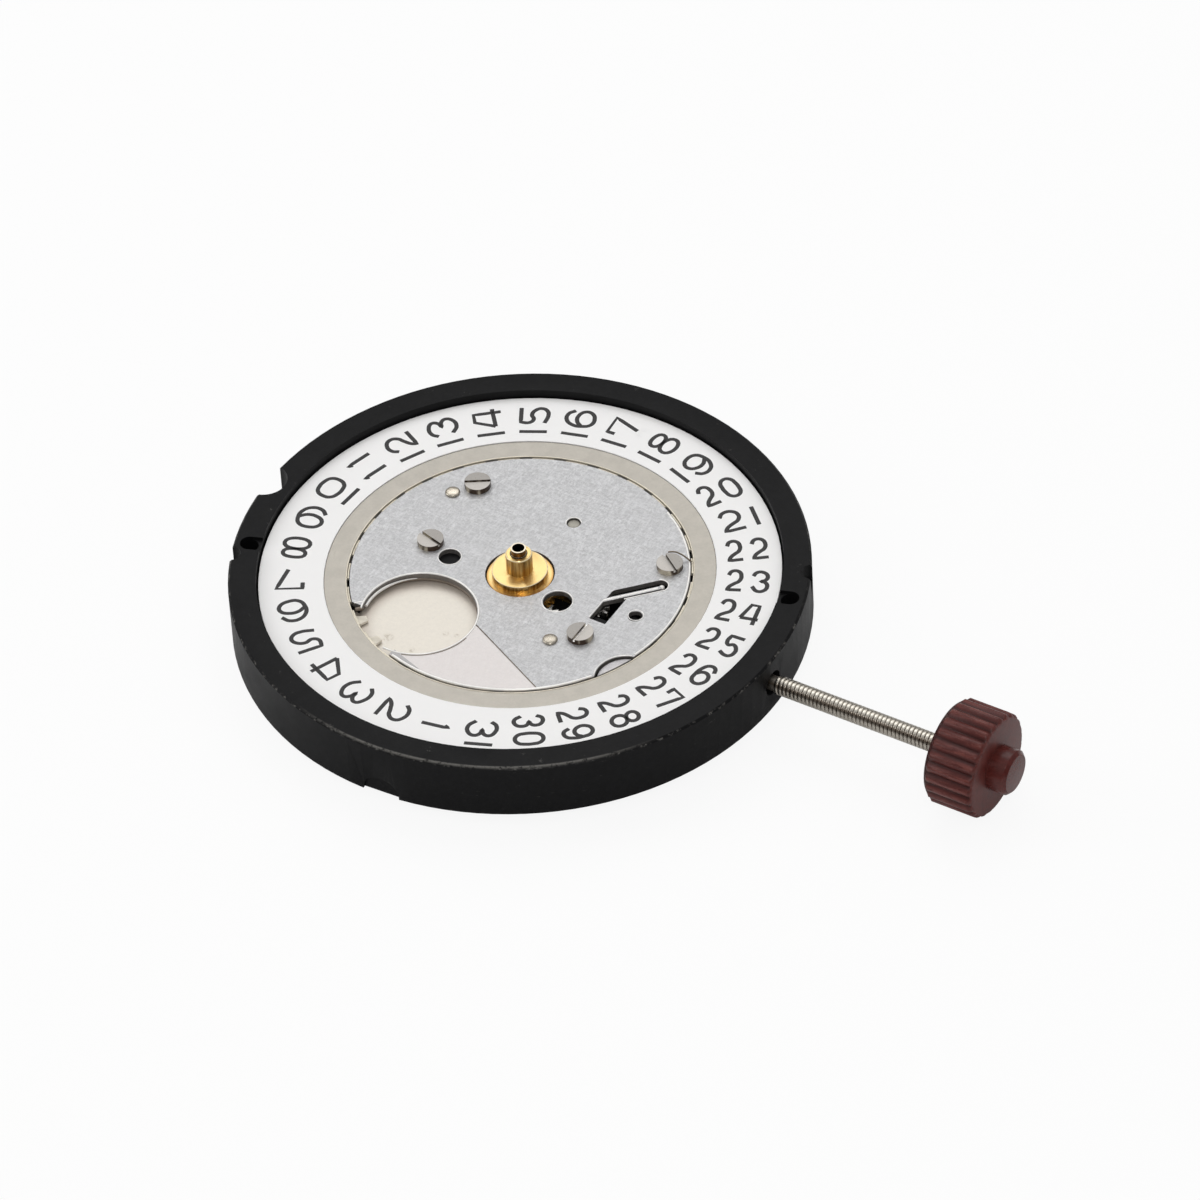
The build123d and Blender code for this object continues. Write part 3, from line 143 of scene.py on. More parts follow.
# Domes, and the painted highlight at the tongue's round end: place and half sizes
TONGUE_END = ((6.04, 2.28, 2.20), (0.13, 0.13, 0.12))
DOMES = {"pin_a": ((-5.492, 3.146, 2.40), (0.335, 0.335, 0.09), "pin_steel"),
         "pin_b": ((3.472, -3.127, 2.40), (0.335, 0.335, 0.09), "pin_steel"),
         "date_post": ((0.399, 4.0, 2.24), (0.30, 0.30, 0.06), "post_steel")}
GUARD = ((7.66, -3.62, 2.25), (1.27, 1.27, 0.07))
GUARD_REACH = 7.66
# The ground flat, grey with painted shade: two corners, the angles of its rim, and its levels
FLAT_CORNERS = [(-2.32, -6.92), (-0.62, -7.50)]
FLAT_ANGLES = (-94.5, -108.4)
FLAT_LEVELS = (2.30, 2.342)
# The roots of the date ring's teeth, as bars of painted light
TOOTH_COUNT = 31
TOOTH_TURN = 9.0
ROOT_HALF_TURN = 3.7
ROOT_ARC = ((0, 0), 7.735, 2.215, TOOTH_TURN - ROOT_HALF_TURN, TOOTH_TURN + ROOT_HALF_TURN, 0.055)
# The minute tube's mouth: its reach, its level and how far it is opened
MOUTH_REACH = 0.23
MOUTH_LEVEL = 3.10
MOUTH_SPREAD = 1.3

# The stem's thread: its ends, crest, one turn's profile and steps to a turn
THREAD_START = 13.30
THREAD_END = 22.00
THREAD_CREST = 0.44
THREAD_PROFILE = [(0, 0.0), (0.10, 0.8), (0.20, 1.0), (0.80, 1.0), (0.90, 0.8), (1, 0.0)]
THREAD_STEPS = 28
THREAD_SINK = 0.002
STEM_MARGIN = 0.01
# The direction that sets where the stem's painted reflections fall
STEM_UP = (0, 0.746, 0.666)
# The crown's ribs: their number, steps in each, fullness, first angle, and the core inside them
RIB_COUNT, RIB_STEPS, RIB_POWER, RIB_TURN = 26, 10, 0.6, 6.92
RIB_FOOT = 2.31
CORE_SHARE = 0.90
# Stations along the grip: place, radius of the grooves and height of the ribs
GRIP_STATIONS = [(21.985, 2.14, 0.0), (22.03, 2.19, 0.02), (22.11, 2.25, 0.06),
                 (22.24, 2.285, 0.16), (24.16, 2.285, 0.16), (24.28, 2.280, 0.145),
                 (24.36, 2.265, 0.105), (24.41, 2.235, 0.055), (24.43, 2.19, 0.01)]


def shade(red, green, blue):
    """A colour as the eye reads it from 0 to 255, turned into the shaders' own scale."""
    return tuple(((part / 255 + 0.055) / 1.055) ** 2.4 for part in (red, green, blue))


# The settings that a user would change

def colour_setting(name, description, value):
    return bpy.props.FloatVectorProperty(name=name, description=description, default=value,
                                         min=0, max=1, size=3, subtype="COLOR")


def length_setting(name, description, value):
    return bpy.props.FloatProperty(name=name, description=description, default=value * MM,
                                   min=0, subtype="DISTANCE", unit="LENGTH")


def power_setting(name, description, value):
    return bpy.props.FloatProperty(name=name, description=description, default=value,
                                   min=0, subtype="POWER", unit="POWER")


class MovementSizes(PropertyGroup):
    """Sizes of what is finished here and not in the frame."""
    edge: length_setting("Edge softness", "Width of the soft edge on metal pieces", 0.025)
    moulded_edge: length_setting("Moulded edge", "Width of the soft edge on moulded pieces", 0.05)
    numeral_height: length_setting("Numeral height", "Height of the numerals over all", 1.46)
    numeral_stroke: length_setting("Numeral stroke", "Width of the printed numerals' stroke", 0.20)
    thread_pitch: length_setting("Thread pitch", "Step of the thread on the winding stem", 0.20)
    thread_depth: length_setting("Thread depth", "Depth of the thread on the winding stem", 0.05)


class MovementColours(PropertyGroup):
    """Colours of the finishes."""
    plate: colour_setting("Moulding", "The black moulded plate", shade(18, 18, 19))
    sheet: colour_setting("Sheet metal", "The plate over the calendar", shade(204, 204, 205))
    side_sheet: colour_setting("Side plate", "The plate beside the cell", shade(214, 209, 207))
    ring: colour_setting("Date ring", "The ring inside the band", shade(177, 172, 163))
    band: colour_setting("Date band", "The printed band", shade(250, 249, 248))
    ink: colour_setting("Ink", "The printed numerals", shade(38, 36, 36))
    brass: colour_setting("Brass", "Pipe, wheels and tubes", shade(230, 200, 138))
    screw: colour_setting("Screws", "Screw heads and pins", shade(160, 156, 151))
    cell: colour_setting("Cell", "The cell's inner cap", shade(222, 216, 205))
    crown: colour_setting("Crown", "The setting crown", shade(84, 33, 29))


class StageSettings(PropertyGroup):
    """Light and floor."""
    floor: colour_setting("Floor", "Colour of the floor", shade(244, 244, 244))
    key_lamp: power_setting("Key lamp", "Power of the large soft lamp overhead", 0.27)
    side_lamp: power_setting("Side lamp", "Power of the soft lamp at the side", 0.15)
    front_lamp: power_setting("Front lamp", "Power of the lamp above the camera", 0.34)
    sky: bpy.props.FloatProperty(name="Room light", description="Strength of the even room light",
                                 default=0.64, min=0)


class MovementSettings(PropertyGroup):
    """All the settings of the movement."""
    sizes: bpy.props.PointerProperty(type=MovementSizes, name="Sizes", description="Sizes")
    colours: bpy.props.PointerProperty(type=MovementColours, name="Colours",
                                       description="Colours of the finishes")
    stage: bpy.props.PointerProperty(type=StageSettings, name="Stage",
                                     description="Light and floor")


def settings():
    return bpy.context.scene.movement


# Shader maths

class Wire:
    """A socket of a shader node, which takes part in Python expressions."""

    def __init__(self, tree, socket=None):
        self.tree = tree
        self.socket = socket

    def node(self, kind, choices, sockets, output=0):
        """Adds a node: its settings first, then the values or wires of its sockets."""
        made = self.tree.nodes.new(kind)
        for name, value in choices.items():
            setattr(made, name, value)
        for name, value in sockets.items():
            if isinstance(value, Wire):
                self.tree.links.new(value.socket, made.inputs[name])
            else:
                made.inputs[name].default_value = value
        return Wire(self.tree, made.outputs[output])

    def maths(self, operation, first, second=0.0):
        return self.node("ShaderNodeMath", {"operation": operation}, {0: first, 1: second})

    def __add__(self, other):
        return self.maths("ADD", self, other)

    __radd__ = __add__

    def __sub__(self, other):
        return self.maths("SUBTRACT", self, other)

    def __rsub__(self, other):
        return self.maths("SUBTRACT", other, self)

    def __mul__(self, other):
        return self.maths("MULTIPLY", self, other)

    __rmul__ = __mul__

    def size(self):
        return self.maths("ABSOLUTE", self)

    def most(self, other):
        return self.maths("MAXIMUM", self, other)

    def rise(self, low, high):
        """0 below low, 1 above high, and a smooth step between them."""
        return self.node("ShaderNodeMapRange", {"interpolation_type": "SMOOTHSTEP"},
                         {"Value": self, "From Min": low, "From Max": high})

    def near(self, value, reach):
        """1 at a value, and 0 further than reach from it."""
        return 1 - (self - value).size().rise(0, reach)

    def vector(self, operation, other=None, scale=None, output=0):
        sockets = {0: self}
        if other is not None:
            sockets[1] = other
        if scale is not None:
            sockets["Scale"] = scale
        return self.node("ShaderNodeVectorMath", {"operation": operation}, sockets, output)

    def length(self):
        return self.vector("LENGTH", output=1)

    def away(self, place):
        """The distance from a place."""
        return self.vector("SUBTRACT", place).length()

    def along(self, x, y, z):
        """This place with each of its directions stretched."""
        return self.vector("MULTIPLY", (x, y, z))

    def parts(self):
        return [self.node("ShaderNodeSeparateXYZ", {}, {0: self}, part) for part in range(3)]

    def combined(self, x, y=0.0):
        return self.node("ShaderNodeCombineXYZ", {}, {0: x, 1: y, 2: 0.0})

    def noise(self, scale, detail=3.0, rough=0.5):
        return self.node("ShaderNodeTexNoise", {},
                         {"Vector": self, "Scale": scale, "Detail": detail, "Roughness": rough})

    def normal(self):
        return self.node("ShaderNodeNewGeometry", {}, {}, "Normal")

    def walls(self):
        """1 on upright walls and 0 on level faces."""
        return 1 - self.normal().parts()[2].size().rise(0.10, 0.50)

    def blend(self, first, second):
        """Mixes two colours, with this wire as the share of the second."""
        first, second = (end if isinstance(end, Wire) else (*end, 1) for end in (first, second))
        return self.node("ShaderNodeMix", {"data_type": "RGBA"}, {0: self, 6: first, 7: second}, 2)


def varied(wire, colour, spread):
    """A colour that runs from a darker to a lighter tone with a wire."""
    return wire.blend(*(tuple(min(1, part * tone) for part in colour)
                        for tone in (1 - spread, 1 + spread)))


# Finishes. Each maker takes the place on the piece in millimetres and a colour, and gives the
# base colour, the roughness, the height and depth of the bump and, if it varies, the metallic.

MAKERS = {}
FINISHES = {}


def finish(colour, **constants):
    """Lists a finish: its colour, or the setting that holds it, and its shader's constants."""
    def listed(maker):
        MAKERS[maker.__name__] = (maker, colour, constants, ())
        return maker
    return listed


def new_material(name, constants):
    """A material, its shader, and the place on a piece in millimetres."""
    material = bpy.data.materials.new(name.replace("_", " "))
    material.use_nodes = True
    tree = material.node_tree
    shader = tree.nodes["Principled BSDF"]
    for socket, value in constants.items():
        shader.inputs[socket.replace("_", " ")].default_value = value
    place = Wire(tree).node("ShaderNodeTexCoord", {}, {}, "Object").vector("SCALE", scale=1 / MM)
    return material, shader, place


def finish_of(name):
    """The material of a finish, made once."""
    if name not in FINISHES:
        maker, colour, constants, numbers = MAKERS[name]
        material, shader, place = new_material(name, constants)
        colour = (getattr(settings().colours, colour) if isinstance(colour, str)
                  else shade(*colour))
        base, rough, height, depth, *metallic = maker(place, colour, *numbers)
        bump = place.node("ShaderNodeBump", {},
                          {"Height": height, "Distance": depth * MM, "Strength": 1.0})
        for socket, wire in zip(("Base Color", "Roughness", "Normal", "Metallic"),
                                (base, rough, bump, *metallic)):
            material.node_tree.links.new(wire.socket, shader.inputs[socket])
        FINISHES[name] = material
    return FINISHES[name]


@finish("screw", Metallic=0.85)
def screw_steel(place, colour):
    """Turned heads with one half of each lighter as painted light, a painted highlight in one
    slot, and side walls in painted shade with streaks of painted highlight.
    """
    flat = place.along(1, 1, 0)
    fine = place.noise(8, 5, 0.7).rise(0.3, 0.7)
    painted_lit_half = slot = fine * 0.0
    for x, y, turn, slot_highlight in SCREWS:
        local = flat.vector("SUBTRACT", (x, y, 0))
        inside = 1 - local.length().rise(0.8, 0.85)
        turn = math.radians(turn)
        across = local.vector("DOT_PRODUCT", (math.sin(turn), -math.cos(turn), 0), output=1)
        # Painted light: one half of each head lighter, the other darker
        painted_lit_half = inside * across.rise(-0.15, 0.35) + painted_lit_half
        slot = inside * (1 - across.size().rise(0.055, 0.075)) * slot_highlight + slot
    # The slot's painted highlight is blended in here
    base = slot.blend(varied(painted_lit_half * 0.7 + fine * 0.3, colour, 0.26), shade(250, 248, 244))
    # The side walls carry painted shade, broken by streaks of painted highlight
    streaks = place.along(1.1, 1.1, 0.4).noise(1.0, 3, 0.6).rise(0.50, 0.60)
    wall_shade = streaks.blend(shade(74, 60, 50), shade(206, 196, 176))
    return place.walls().blend(base, wall_shade), fine * 0.16 + 0.26, fine, 0.002


@finish("brass", Metallic=1.0)
def brass(place, colour):
    """Turned brass: pale level faces, walls in painted shade with streaks of painted reflection,
    painted shade on the outer rim, steel inside the tube with its walls in painted shade, and
    painted shade in the minute tube's bore.
    """
    radius = place.along(1, 1, 0).length()
    streaks = place.along(7, 7, 0.4).noise(1.0, 3, 0.6).rise(0.35, 0.65)
    fine = place.noise(14, 3, 0.6)
    # Walls: painted shade with streaks of painted reflection
    wall_shade = streaks.blend(shade(160, 116, 60), shade(220, 184, 118))
    # Painted shade on the outer rim of the low faces
    rim_shade = radius.rise(1.36, 1.50) * (1 - place.parts()[2].rise(2.24, 2.30))
    pale = (rim_shade * 0.75).blend(varied(fine, colour, 0.06), shade(168, 118, 60))
    tube = 1 - radius.rise(0.37, 0.39)
    # Inside the tube's radius the colour turns to steel, its walls darkened as painted shade
    steel = place.walls().blend(shade(216, 206, 186), shade(104, 74, 42))
    base = tube.blend(place.walls().blend(pale, wall_shade), steel)
    # The bore is filled with painted shade
    bore_shade = 1 - radius.rise(0.27, 0.285)
    rough = fine * 0.14 + streaks * 0.06 + bore_shade * 0.4 + 0.22
    return bore_shade.blend(base, shade(22, 18, 14)), rough, fine, 0.002


@finish("plate", IOR=1.5, Specular_IOR_Level=0.10)
def black_moulding(place, colour):
    """Black plastic, chipped and worn pale along its lip, and pale along the near lip partly from
    wear and partly as a painted highlight.
    """
    grain = place.noise(14, 4, 0.6)
    cloud = place.noise(0.7, 3)
    radius = place.along(1, 1, 0).length()
    height = place.parts()[2]
    rim = radius.near(13.06, 0.09) * height.near(2.73, 0.10)
    foot = radius.near(13.07, 0.06) * height.near(0.03, 0.07)
    chips = place.noise(3.2, 5, 0.75).rise(0.50, 0.66)
    scratches = place.along(1, 1, 6).noise(1.6, 6, 0.8).rise(0.63, 0.70)
    # The near lip: partly real wear, partly a painted highlight on the side towards the front
    lip_wear_and_highlight = (1 - place.away(LIP_FRONT).rise(4.5, 9.0)) * radius.near(13.00, 0.10)
    lip_wear_and_highlight = lip_wear_and_highlight * height.near(2.78, 0.13) * place.noise(6, 3, 0.6).rise(0.28, 0.50)
    wear_and_highlight = (rim * chips * 0.7).most(foot * chips * 0.6).most(scratches * 0.25).most(lip_wear_and_highlight * 0.75)
    patch = place.noise(3, 5, 0.7).rise(0.35, 0.65)
    base = varied(cloud * 0.3 + grain * 0.3 + patch * 0.4, colour, 0.38)
    rough = cloud * 0.18 + grain * 0.10 + wear_and_highlight * 0.2 + 0.28
    return wear_and_highlight.blend(base, shade(120, 118, 114)), rough, grain + cloud * 0.8, 0.006


@finish("sheet", Metallic=0.72)
def nickel_sheet(place, colour):
    """Stamped sheet with a fine tumbled texture and soft clouds, and painted shade on its walls.
    """
    cloud = place.noise(1.1, 4, 0.6).rise(0.3, 0.7)
    fine = place.noise(7, 5, 0.8).rise(0.38, 0.62)
    strokes = place.along(1, 0.3, 1).noise(11, 4, 0.75).rise(0.40, 0.60)
    scuffs = place.along(0.3, 1, 1).noise(10, 4, 0.75).rise(0.42, 0.62)
    blend = cloud * 0.16 + fine * 0.24 + strokes * 0.30 + scuffs * 0.30
    flecks = place.noise(6, 4, 0.8).rise(0.60, 0.67) * 0.3
    base = flecks.blend(varied(blend, colour, 0.27), shade(244, 244, 244))
    # Painted shade on the walls
    base = (place.walls() * 0.7).blend(base, shade(96, 86, 76))
    return base, fine * 0.22 + cloud * 0.12 + 0.32, fine * 0.5 + strokes * 0.5, 0.008


@finish("side_sheet", Metallic=0.6)
def pale_sheet(place, colour):
    """The smoother sheet beside the cell, with painted shade on its walls."""
    cloud = place.noise(0.9, 4, 0.6).rise(0.3, 0.7)
    fine = place.noise(5, 5, 0.75).rise(0.36, 0.64)
    base = varied(cloud * 0.5 + fine * 0.5, colour, 0.11)
    # Painted shade on the walls
    base = (place.walls() * 0.6).blend(base, shade(110, 98, 86))
    return base, fine * 0.14 + cloud * 0.1 + 0.34, fine, 0.002


@finish("ring", Metallic=0.7)
def ring_metal(place, colour):
    """Satin metal brushed round the movement's axis, with painted light on its teeth and a dark
    seam.
    """
    radius = place.along(1, 1, 0).length()
    cloud = place.noise(1.6, 4, 0.6).rise(0.3, 0.7)
    rings = place.combined(radius * 30, cloud * 2).noise(1.0, 3, 0.6).rise(0.3, 0.7)
    fine = place.noise(6, 5, 0.7).rise(0.36, 0.64)
    # Painted light on the teeth: paler and less metallic, so they read bright where they lie in
    # shade
    teeth_light = 1 - radius.rise(7.74, 7.80)
    base = varied(cloud * 0.4 + rings * 0.2 + fine * 0.4, colour, 0.12)
    base = teeth_light.blend(base, shade(246, 238, 222))
    base = radius.near(8.82, 0.045).blend(base, shade(52, 46, 38))
    rough = rings * 0.12 + fine * 0.12 + 0.30
    return base, rough, rings * 0.5 + fine * 0.5, 0.002, 0.7 - teeth_light * 0.55


@finish("band", IOR=1.45)
def printed_white(place, colour):
    """White print with one grey smear."""
    cloud = place.noise(0.8, 4, 0.6)
    fine = place.noise(22, 3, 0.6)
    mark = (1 - place.away(BAND_SMEAR).rise(0.1, 0.5)) * cloud.rise(0.3, 0.7) * 0.35
    base = mark.blend(varied(cloud * 0.7 + fine * 0.3, colour, 0.025), shade(180, 180, 180))
    return base, fine * 0.14 + 0.36, fine, 0.001


@finish("ink", IOR=1.45)
def ink(place, colour):
    fine = place.noise(20, 3, 0.6)
    return varied(fine, colour, 0.35), fine * 0.2 + 0.38, fine, 0.001


@finish("cell", Metallic=0.35)
def cell_cap_steel(place, colour):
    """Pressed cap of the cell, cream, with soft clouds, small marks and a painted shadow towards
    its upper left.
    """
    cloud = place.noise(0.45, 3, 0.55)
    fine = place.noise(5, 5, 0.75).rise(0.34, 0.66)
    marks = place.along(1, 1.6, 1).noise(1.1, 5, 0.75).rise(0.66, 0.72)
    flat = place.along(1, 1, 0)
    base = varied(cloud * 0.5 + fine * 0.5, colour, 0.10)
    # Painted shadow near the edge of the opening, strongest at the upper left
    base = (flat.away(CELL_SHADE).rise(2.0, 2.75) * 0.55).blend(base, shade(156, 140, 128))
    for x, y, size in CELL_MARKS:
        spot = (1 - flat.away((x, y, 0)).rise(size * 0.3, size)) * fine.rise(0.2, 0.7)
        base = (spot * 0.6).blend(base, shade(150, 138, 118))
    base = (marks * 0.5).blend(base, shade(176, 166, 150))
    return base, fine * 0.14 + cloud * 0.1 + 0.26, fine * 0.4 + cloud, 0.003


@finish((205, 204, 200), Metallic=1.0)
def cell_steel(place, colour):
    """Steel with fine rings about the cell's axis."""
    radius = place.vector("SUBTRACT", (*CELL_CENTRE, 0)).along(1, 1, 0).length()
    rings = place.combined(radius * 60, place.parts()[2] * 60).noise(1.0, 3, 0.6)
    cloud = place.noise(2.5, 3)
    base = varied(rings * 0.5 + cloud * 0.5, colour, 0.06)
    return base, rings * 0.14 + cloud * 0.12 + 0.17, rings, 0.0015


@finish("crown", IOR=1.5, Specular_IOR_Level=0.28)
def crown_plastic(place, colour):
    """Moulded plastic, with painted highlights along the tops of its ribs and on its face, and
    painted shade in the grooves between the ribs.
    """
    radius = place.vector("SUBTRACT", (0, 0, STEM_LEVEL)).along(0, 1, 1).length()
    along = place.parts()[0]
    cloud = place.noise(1.4, 4, 0.6)
    fine = place.noise(16, 4, 0.7)
    streaks = place.along(0.5, 2.2, 2.2).noise(2.2, 5, 0.75).rise(0.42, 0.62)
    # Painted highlights streaked along the rib tops
    rib_highlight = radius.rise(2.34, 2.46) * (fine.rise(0.42, 0.62) * 0.15 + streaks * 0.35)
    # A painted sheen on the face
    face_sheen = along.rise(24.22, 24.38) * radius.rise(1.0, 1.1) * 0.22
    pale = rib_highlight.most(face_sheen * cloud.rise(0.2, 0.8))
    # Painted shade in the grooves between the ribs
    deep = 1 - radius.rise(2.27, 2.40)
    groove_shade = deep * radius.rise(1.2, 1.4) * (1 - along.rise(24.30, 24.38)) * 0.65
    base = varied(cloud * 0.4 + streaks * 0.4 + fine * 0.2, colour, 0.36)
    base = groove_shade.blend(pale.blend(base, shade(140, 86, 78)), shade(34, 13, 12))
    boss = (1 - radius.rise(1.06, 1.12)) * along.rise(24.44, 24.50)
    rough = fine * 0.2 + cloud * 0.14 + 0.22 - boss * 0.16
    return base, rough, fine * 0.5 + cloud, 0.006


@finish((176, 170, 160), Metallic=1.0)
def stem_steel(place, colour):
    """Drawn steel with a painted dark reflection and a painted bright reflection in bands along
    it, and painted shade in the roots of its thread.
    """
    radius = place.vector("SUBTRACT", (0, 0, STEM_LEVEL)).along(0, 1, 1).length()
    fine = place.noise(12, 4, 0.6)
    # Painted shade in the thread's roots
    root = 1 - radius.rise(0.390, 0.425)
    # Painted reflections: a dark band and a bright band, set by which way each face turns
    reflection_lift = place.normal().vector("DOT_PRODUCT", STEM_UP, output=1)
    base = (reflection_lift.near(-0.16, 0.42) * 0.8).blend(varied(fine, colour, 0.14), shade(92, 76, 62))
    base = (reflection_lift.near(0.42, 0.30) * 0.8).blend(base, shade(236, 230, 218))
    base = (root * 0.5).blend(base, shade(66, 56, 46))
    return base, fine * 0.16 + root * 0.2 + 0.20, fine, 0.002


@finish((196, 112, 66), Metallic=0.9)
def copper_wire(place, colour):
    """Fine enamelled wire in even turns about the coil's axis."""
    turn = math.radians(45)
    x, y, _ = place.parts()
    along = place.combined(x * math.cos(turn) + y * math.sin(turn))
    turns = place.node("ShaderNodeTexWave", {"wave_type": "BANDS", "bands_direction": "X"},
                       {"Vector": along, "Scale": 4.0}, 1)
    cloud = place.noise(1.5, 4, 0.6)
    return varied(turns * 0.6 + cloud * 0.4, colour, 0.25), cloud * 0.15 + 0.28, turns, 0.02


@finish((34, 84, 60), IOR=1.5)
def board_green(place, colour):
    """Solder resist over copper tracks."""
    blocks = place.node("ShaderNodeTexBrick", {"offset": 0.5, "squash": 1.0},
                        {"Vector": place, "Scale": 1.4, "Mortar Size": 0.06}, 1)
    fine = place.noise(12, 3)
    base = (blocks * 0.6).blend(varied(fine, colour, 0.15), shade(70, 126, 84))
    return base, fine * 0.15 + 0.25, blocks, 0.01


def plain_metal(place, colour, rough, spread, grain, depth):
    """Mottled colour, uneven gloss and a fine grain."""
    cloud = place.noise(grain / 4, 4, 0.6)
    fine = place.noise(grain * 4, 3, 0.6)
    base = varied((cloud * 0.6 + fine * 0.4).rise(0.3, 0.7), colour, spread)
    return base, fine * 0.16 + cloud * 0.10 + (rough - 0.13), fine, depth


def plastic(place, colour, rough):
    cloud = place.noise(1.8, 4, 0.6)
    fine = place.noise(16, 4, 0.65)
    base = varied(cloud * 0.6 + fine * 0.4, colour, 0.12)
    return base, fine * 0.16 + cloud * 0.1 + (rough - 0.13), fine, 0.003


# Plain metals: colour, metallic, roughness, spread of the tone, grain and its depth
for title, (paint_colour, share, *numbers) in {
        "wheel_brass": ("brass", 1.0, 0.30, 0.06, 6, 0.001),
        "guard_steel": ((188, 186, 187), 1.0, 0.42, 0.24, 4, 0.004),
        "pin_steel": ((192, 184, 170), 1.0, 0.22, 0.34, 9, 0.006),
        "post_steel": ((150, 147, 138), 1.0, 0.45, 0.16, 9, 0.004),
        # Finishes that carry painted highlights (white, brass, cream) and painted shade (brown,
        # grey)
        "bright_edge": ((252, 250, 246), 0.4, 0.34, 0.03, 5, 0.001),
        "brass_edge": ((250, 232, 192), 0.5, 0.30, 0.04, 5, 0.001),
        "cream_edge": ((236, 228, 210), 0.4, 0.36, 0.08, 5, 0.001),
        "sleeve_brown": ((136, 124, 112), 0.4, 0.5, 0.14, 4, 0.002),
        "grey_flat": ((170, 168, 168), 0.6, 0.42, 0.12, 5, 0.002),
        "wire_brown": ((112, 98, 82), 1.0, 0.35, 0.15, 4, 0.001),
        "turned_steel": ((190, 188, 184), 1.0, 0.25, 0.08, 12, 0.002),
        "spring_steel": ((186, 182, 176), 1.0, 0.30, 0.10, 8, 0.002),
        "bronze_spring": ((204, 168, 120), 1.0, 0.32, 0.12, 8, 0.002),
        "soft_iron": ((150, 150, 152), 1.0, 0.42, 0.10, 5, 0.004),
        "magnet": ((96, 94, 96), 0.8, 0.48, 0.12, 8, 0.004),
        "crystal_steel": ((200, 200, 198), 1.0, 0.26, 0.06, 6, 0.002)}.items():
    MAKERS[title] = (plain_metal, paint_colour, {"Metallic": share}, numbers)
# Plastics: colour and roughness
for title, (paint_colour, rough) in {"bobbin_plastic": ((52, 50, 50), 0.4),
                                     "gasket_plastic": ((60, 60, 62), 0.35),
                                     "chip_black": ((34, 34, 36), 0.45)}.items():
    MAKERS[title] = (plastic, paint_colour, {"IOR": 1.5}, (rough,))


# Modelling steps

def pick(*pieces):
    """Leaves edit mode and selects these pieces alone, the first one active."""
    if bpy.context.mode != "OBJECT":
        bpy.ops.object.mode_set(mode="OBJECT")
    bpy.ops.object.select_all(action="DESELECT")
    for piece in pieces:
        piece.select_set(True)
    if pieces:
        bpy.context.view_layer.objects.active = pieces[0]


def edit(piece):
    """Opens a piece in edit mode, all of it selected."""
    pick(piece)
    bpy.ops.object.mode_set(mode="EDIT")
    bpy.ops.mesh.select_all(action="SELECT")


def leave_edit():
    bpy.ops.object.mode_set(mode="OBJECT")


def scale_corners(piece, test, value, centre=(0, 0, 0)):
    """Scales the corners of a piece that pass a test."""
    edit(piece)
    bpy.ops.mesh.select_mode(type="VERT")
    bpy.ops.mesh.select_all(action="DESELECT")
    mesh = bmesh.from_edit_mesh(piece.data)
    chosen = [corner for corner in mesh.verts if test(corner.co)]
    if not chosen:
        raise RuntimeError(piece.name + " has no corners to scale")
    for corner in chosen:
        corner.select_set(True)
    mesh.select_flush_mode()
    bmesh.update_edit_mesh(piece.data)
    bpy.ops.transform.resize(value=value, center_override=centre)
    leave_edit()


def recalculate(piece):
    edit(piece)
    bpy.ops.mesh.remove_doubles(threshold=WELD)
    bpy.ops.mesh.normals_make_consistent(inside=False)
    leave_edit()


def settle(piece):
    """Puts a piece's place into its mesh."""
    pick(piece)
    bpy.ops.object.transform_apply(location=True, rotation=True, scale=True)


def modify(piece, kind, **values):
    """Adds a modifier with its settings and applies it."""
    pick(piece)
    bpy.ops.object.modifier_add(type=kind)
    modifier = piece.modifiers[-1]
    for name, value in values.items():
        setattr(modifier, name, value)
    bpy.ops.object.modifier_apply(modifier=modifier.name)


def smooth(piece, angle=35):
    pick(piece)
    bpy.ops.object.shade_smooth_by_angle(angle=math.radians(angle))


def soften(piece, width, segments=2, angle=30):
    """Smooths a piece's curved faces and rounds its sharp edges."""
    smooth(piece)
    modify(piece, "BEVEL", width=width, segments=segments, limit_method="ANGLE",
           angle_limit=math.radians(angle), use_clamp_overlap=True, harden_normals=True)


def own(piece, body, slot, finish_name=None):
    """Attaches a piece to its body and gives it a material: the named finish, or else the finish
    of the slot.
    """
    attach(piece, body)
    piece.data.materials.clear()
    piece.data.materials.append(finish_of(finish_name or slot))


def own_as(piece, node, finish_name=None):
    """Gives a piece the body of a node of the frame, and the finish of that node's slot unless
    another finish is named.
    """
    record = frame["record"]
    body = next(name for name, nodes in record["behaviour"]["bodies"].items() if node in nodes)
    slot = next(row["material_slot"] for row in record["subparts"] if row["node"] == node)
    own(piece, body, slot, finish_name)


def merged_copy(node):
    """A copy of a node of the frame, its loose triangles joined and its flat faces made whole."""
    pick(frame["nodes"][node])
    bpy.ops.object.duplicate()
    piece = bpy.context.active_object
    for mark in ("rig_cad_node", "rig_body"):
        if mark in piece:
            del piece[mark]
    piece.parent = None
    piece.name = node + ".finish"
    edit(piece)
    bpy.ops.mesh.remove_doubles(threshold=FRAME_WELD)
    bpy.ops.mesh.dissolve_limited(angle_limit=math.radians(FLAT_TURN))
    leave_edit()
    return piece


def dress(*nodes, finish_name=None, edge=None, segments=2):
    """Softened copies of nodes take their places, in their finish."""
    for node in nodes:
        piece = merged_copy(node)
        soften(piece, settings().sizes.edge if edge is None else edge, segments)
        own_as(piece, node, finish_name)
        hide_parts(node)
    return piece


def joined(name, pieces):
    pick(*pieces)
    bpy.ops.object.join()
    whole = bpy.context.active_object
    whole.name = name
    return whole


def squashed_ball(name, place, half_size):
    pick()
    bpy.ops.mesh.primitive_uv_sphere_add(segments=48, ring_count=24, radius=MM)
    ball = bpy.context.active_object
    ball.name = name
    ball.scale = half_size
    ball.location = Vector(place) * MM
    settle(ball)
    smooth(ball, 60)
    return ball


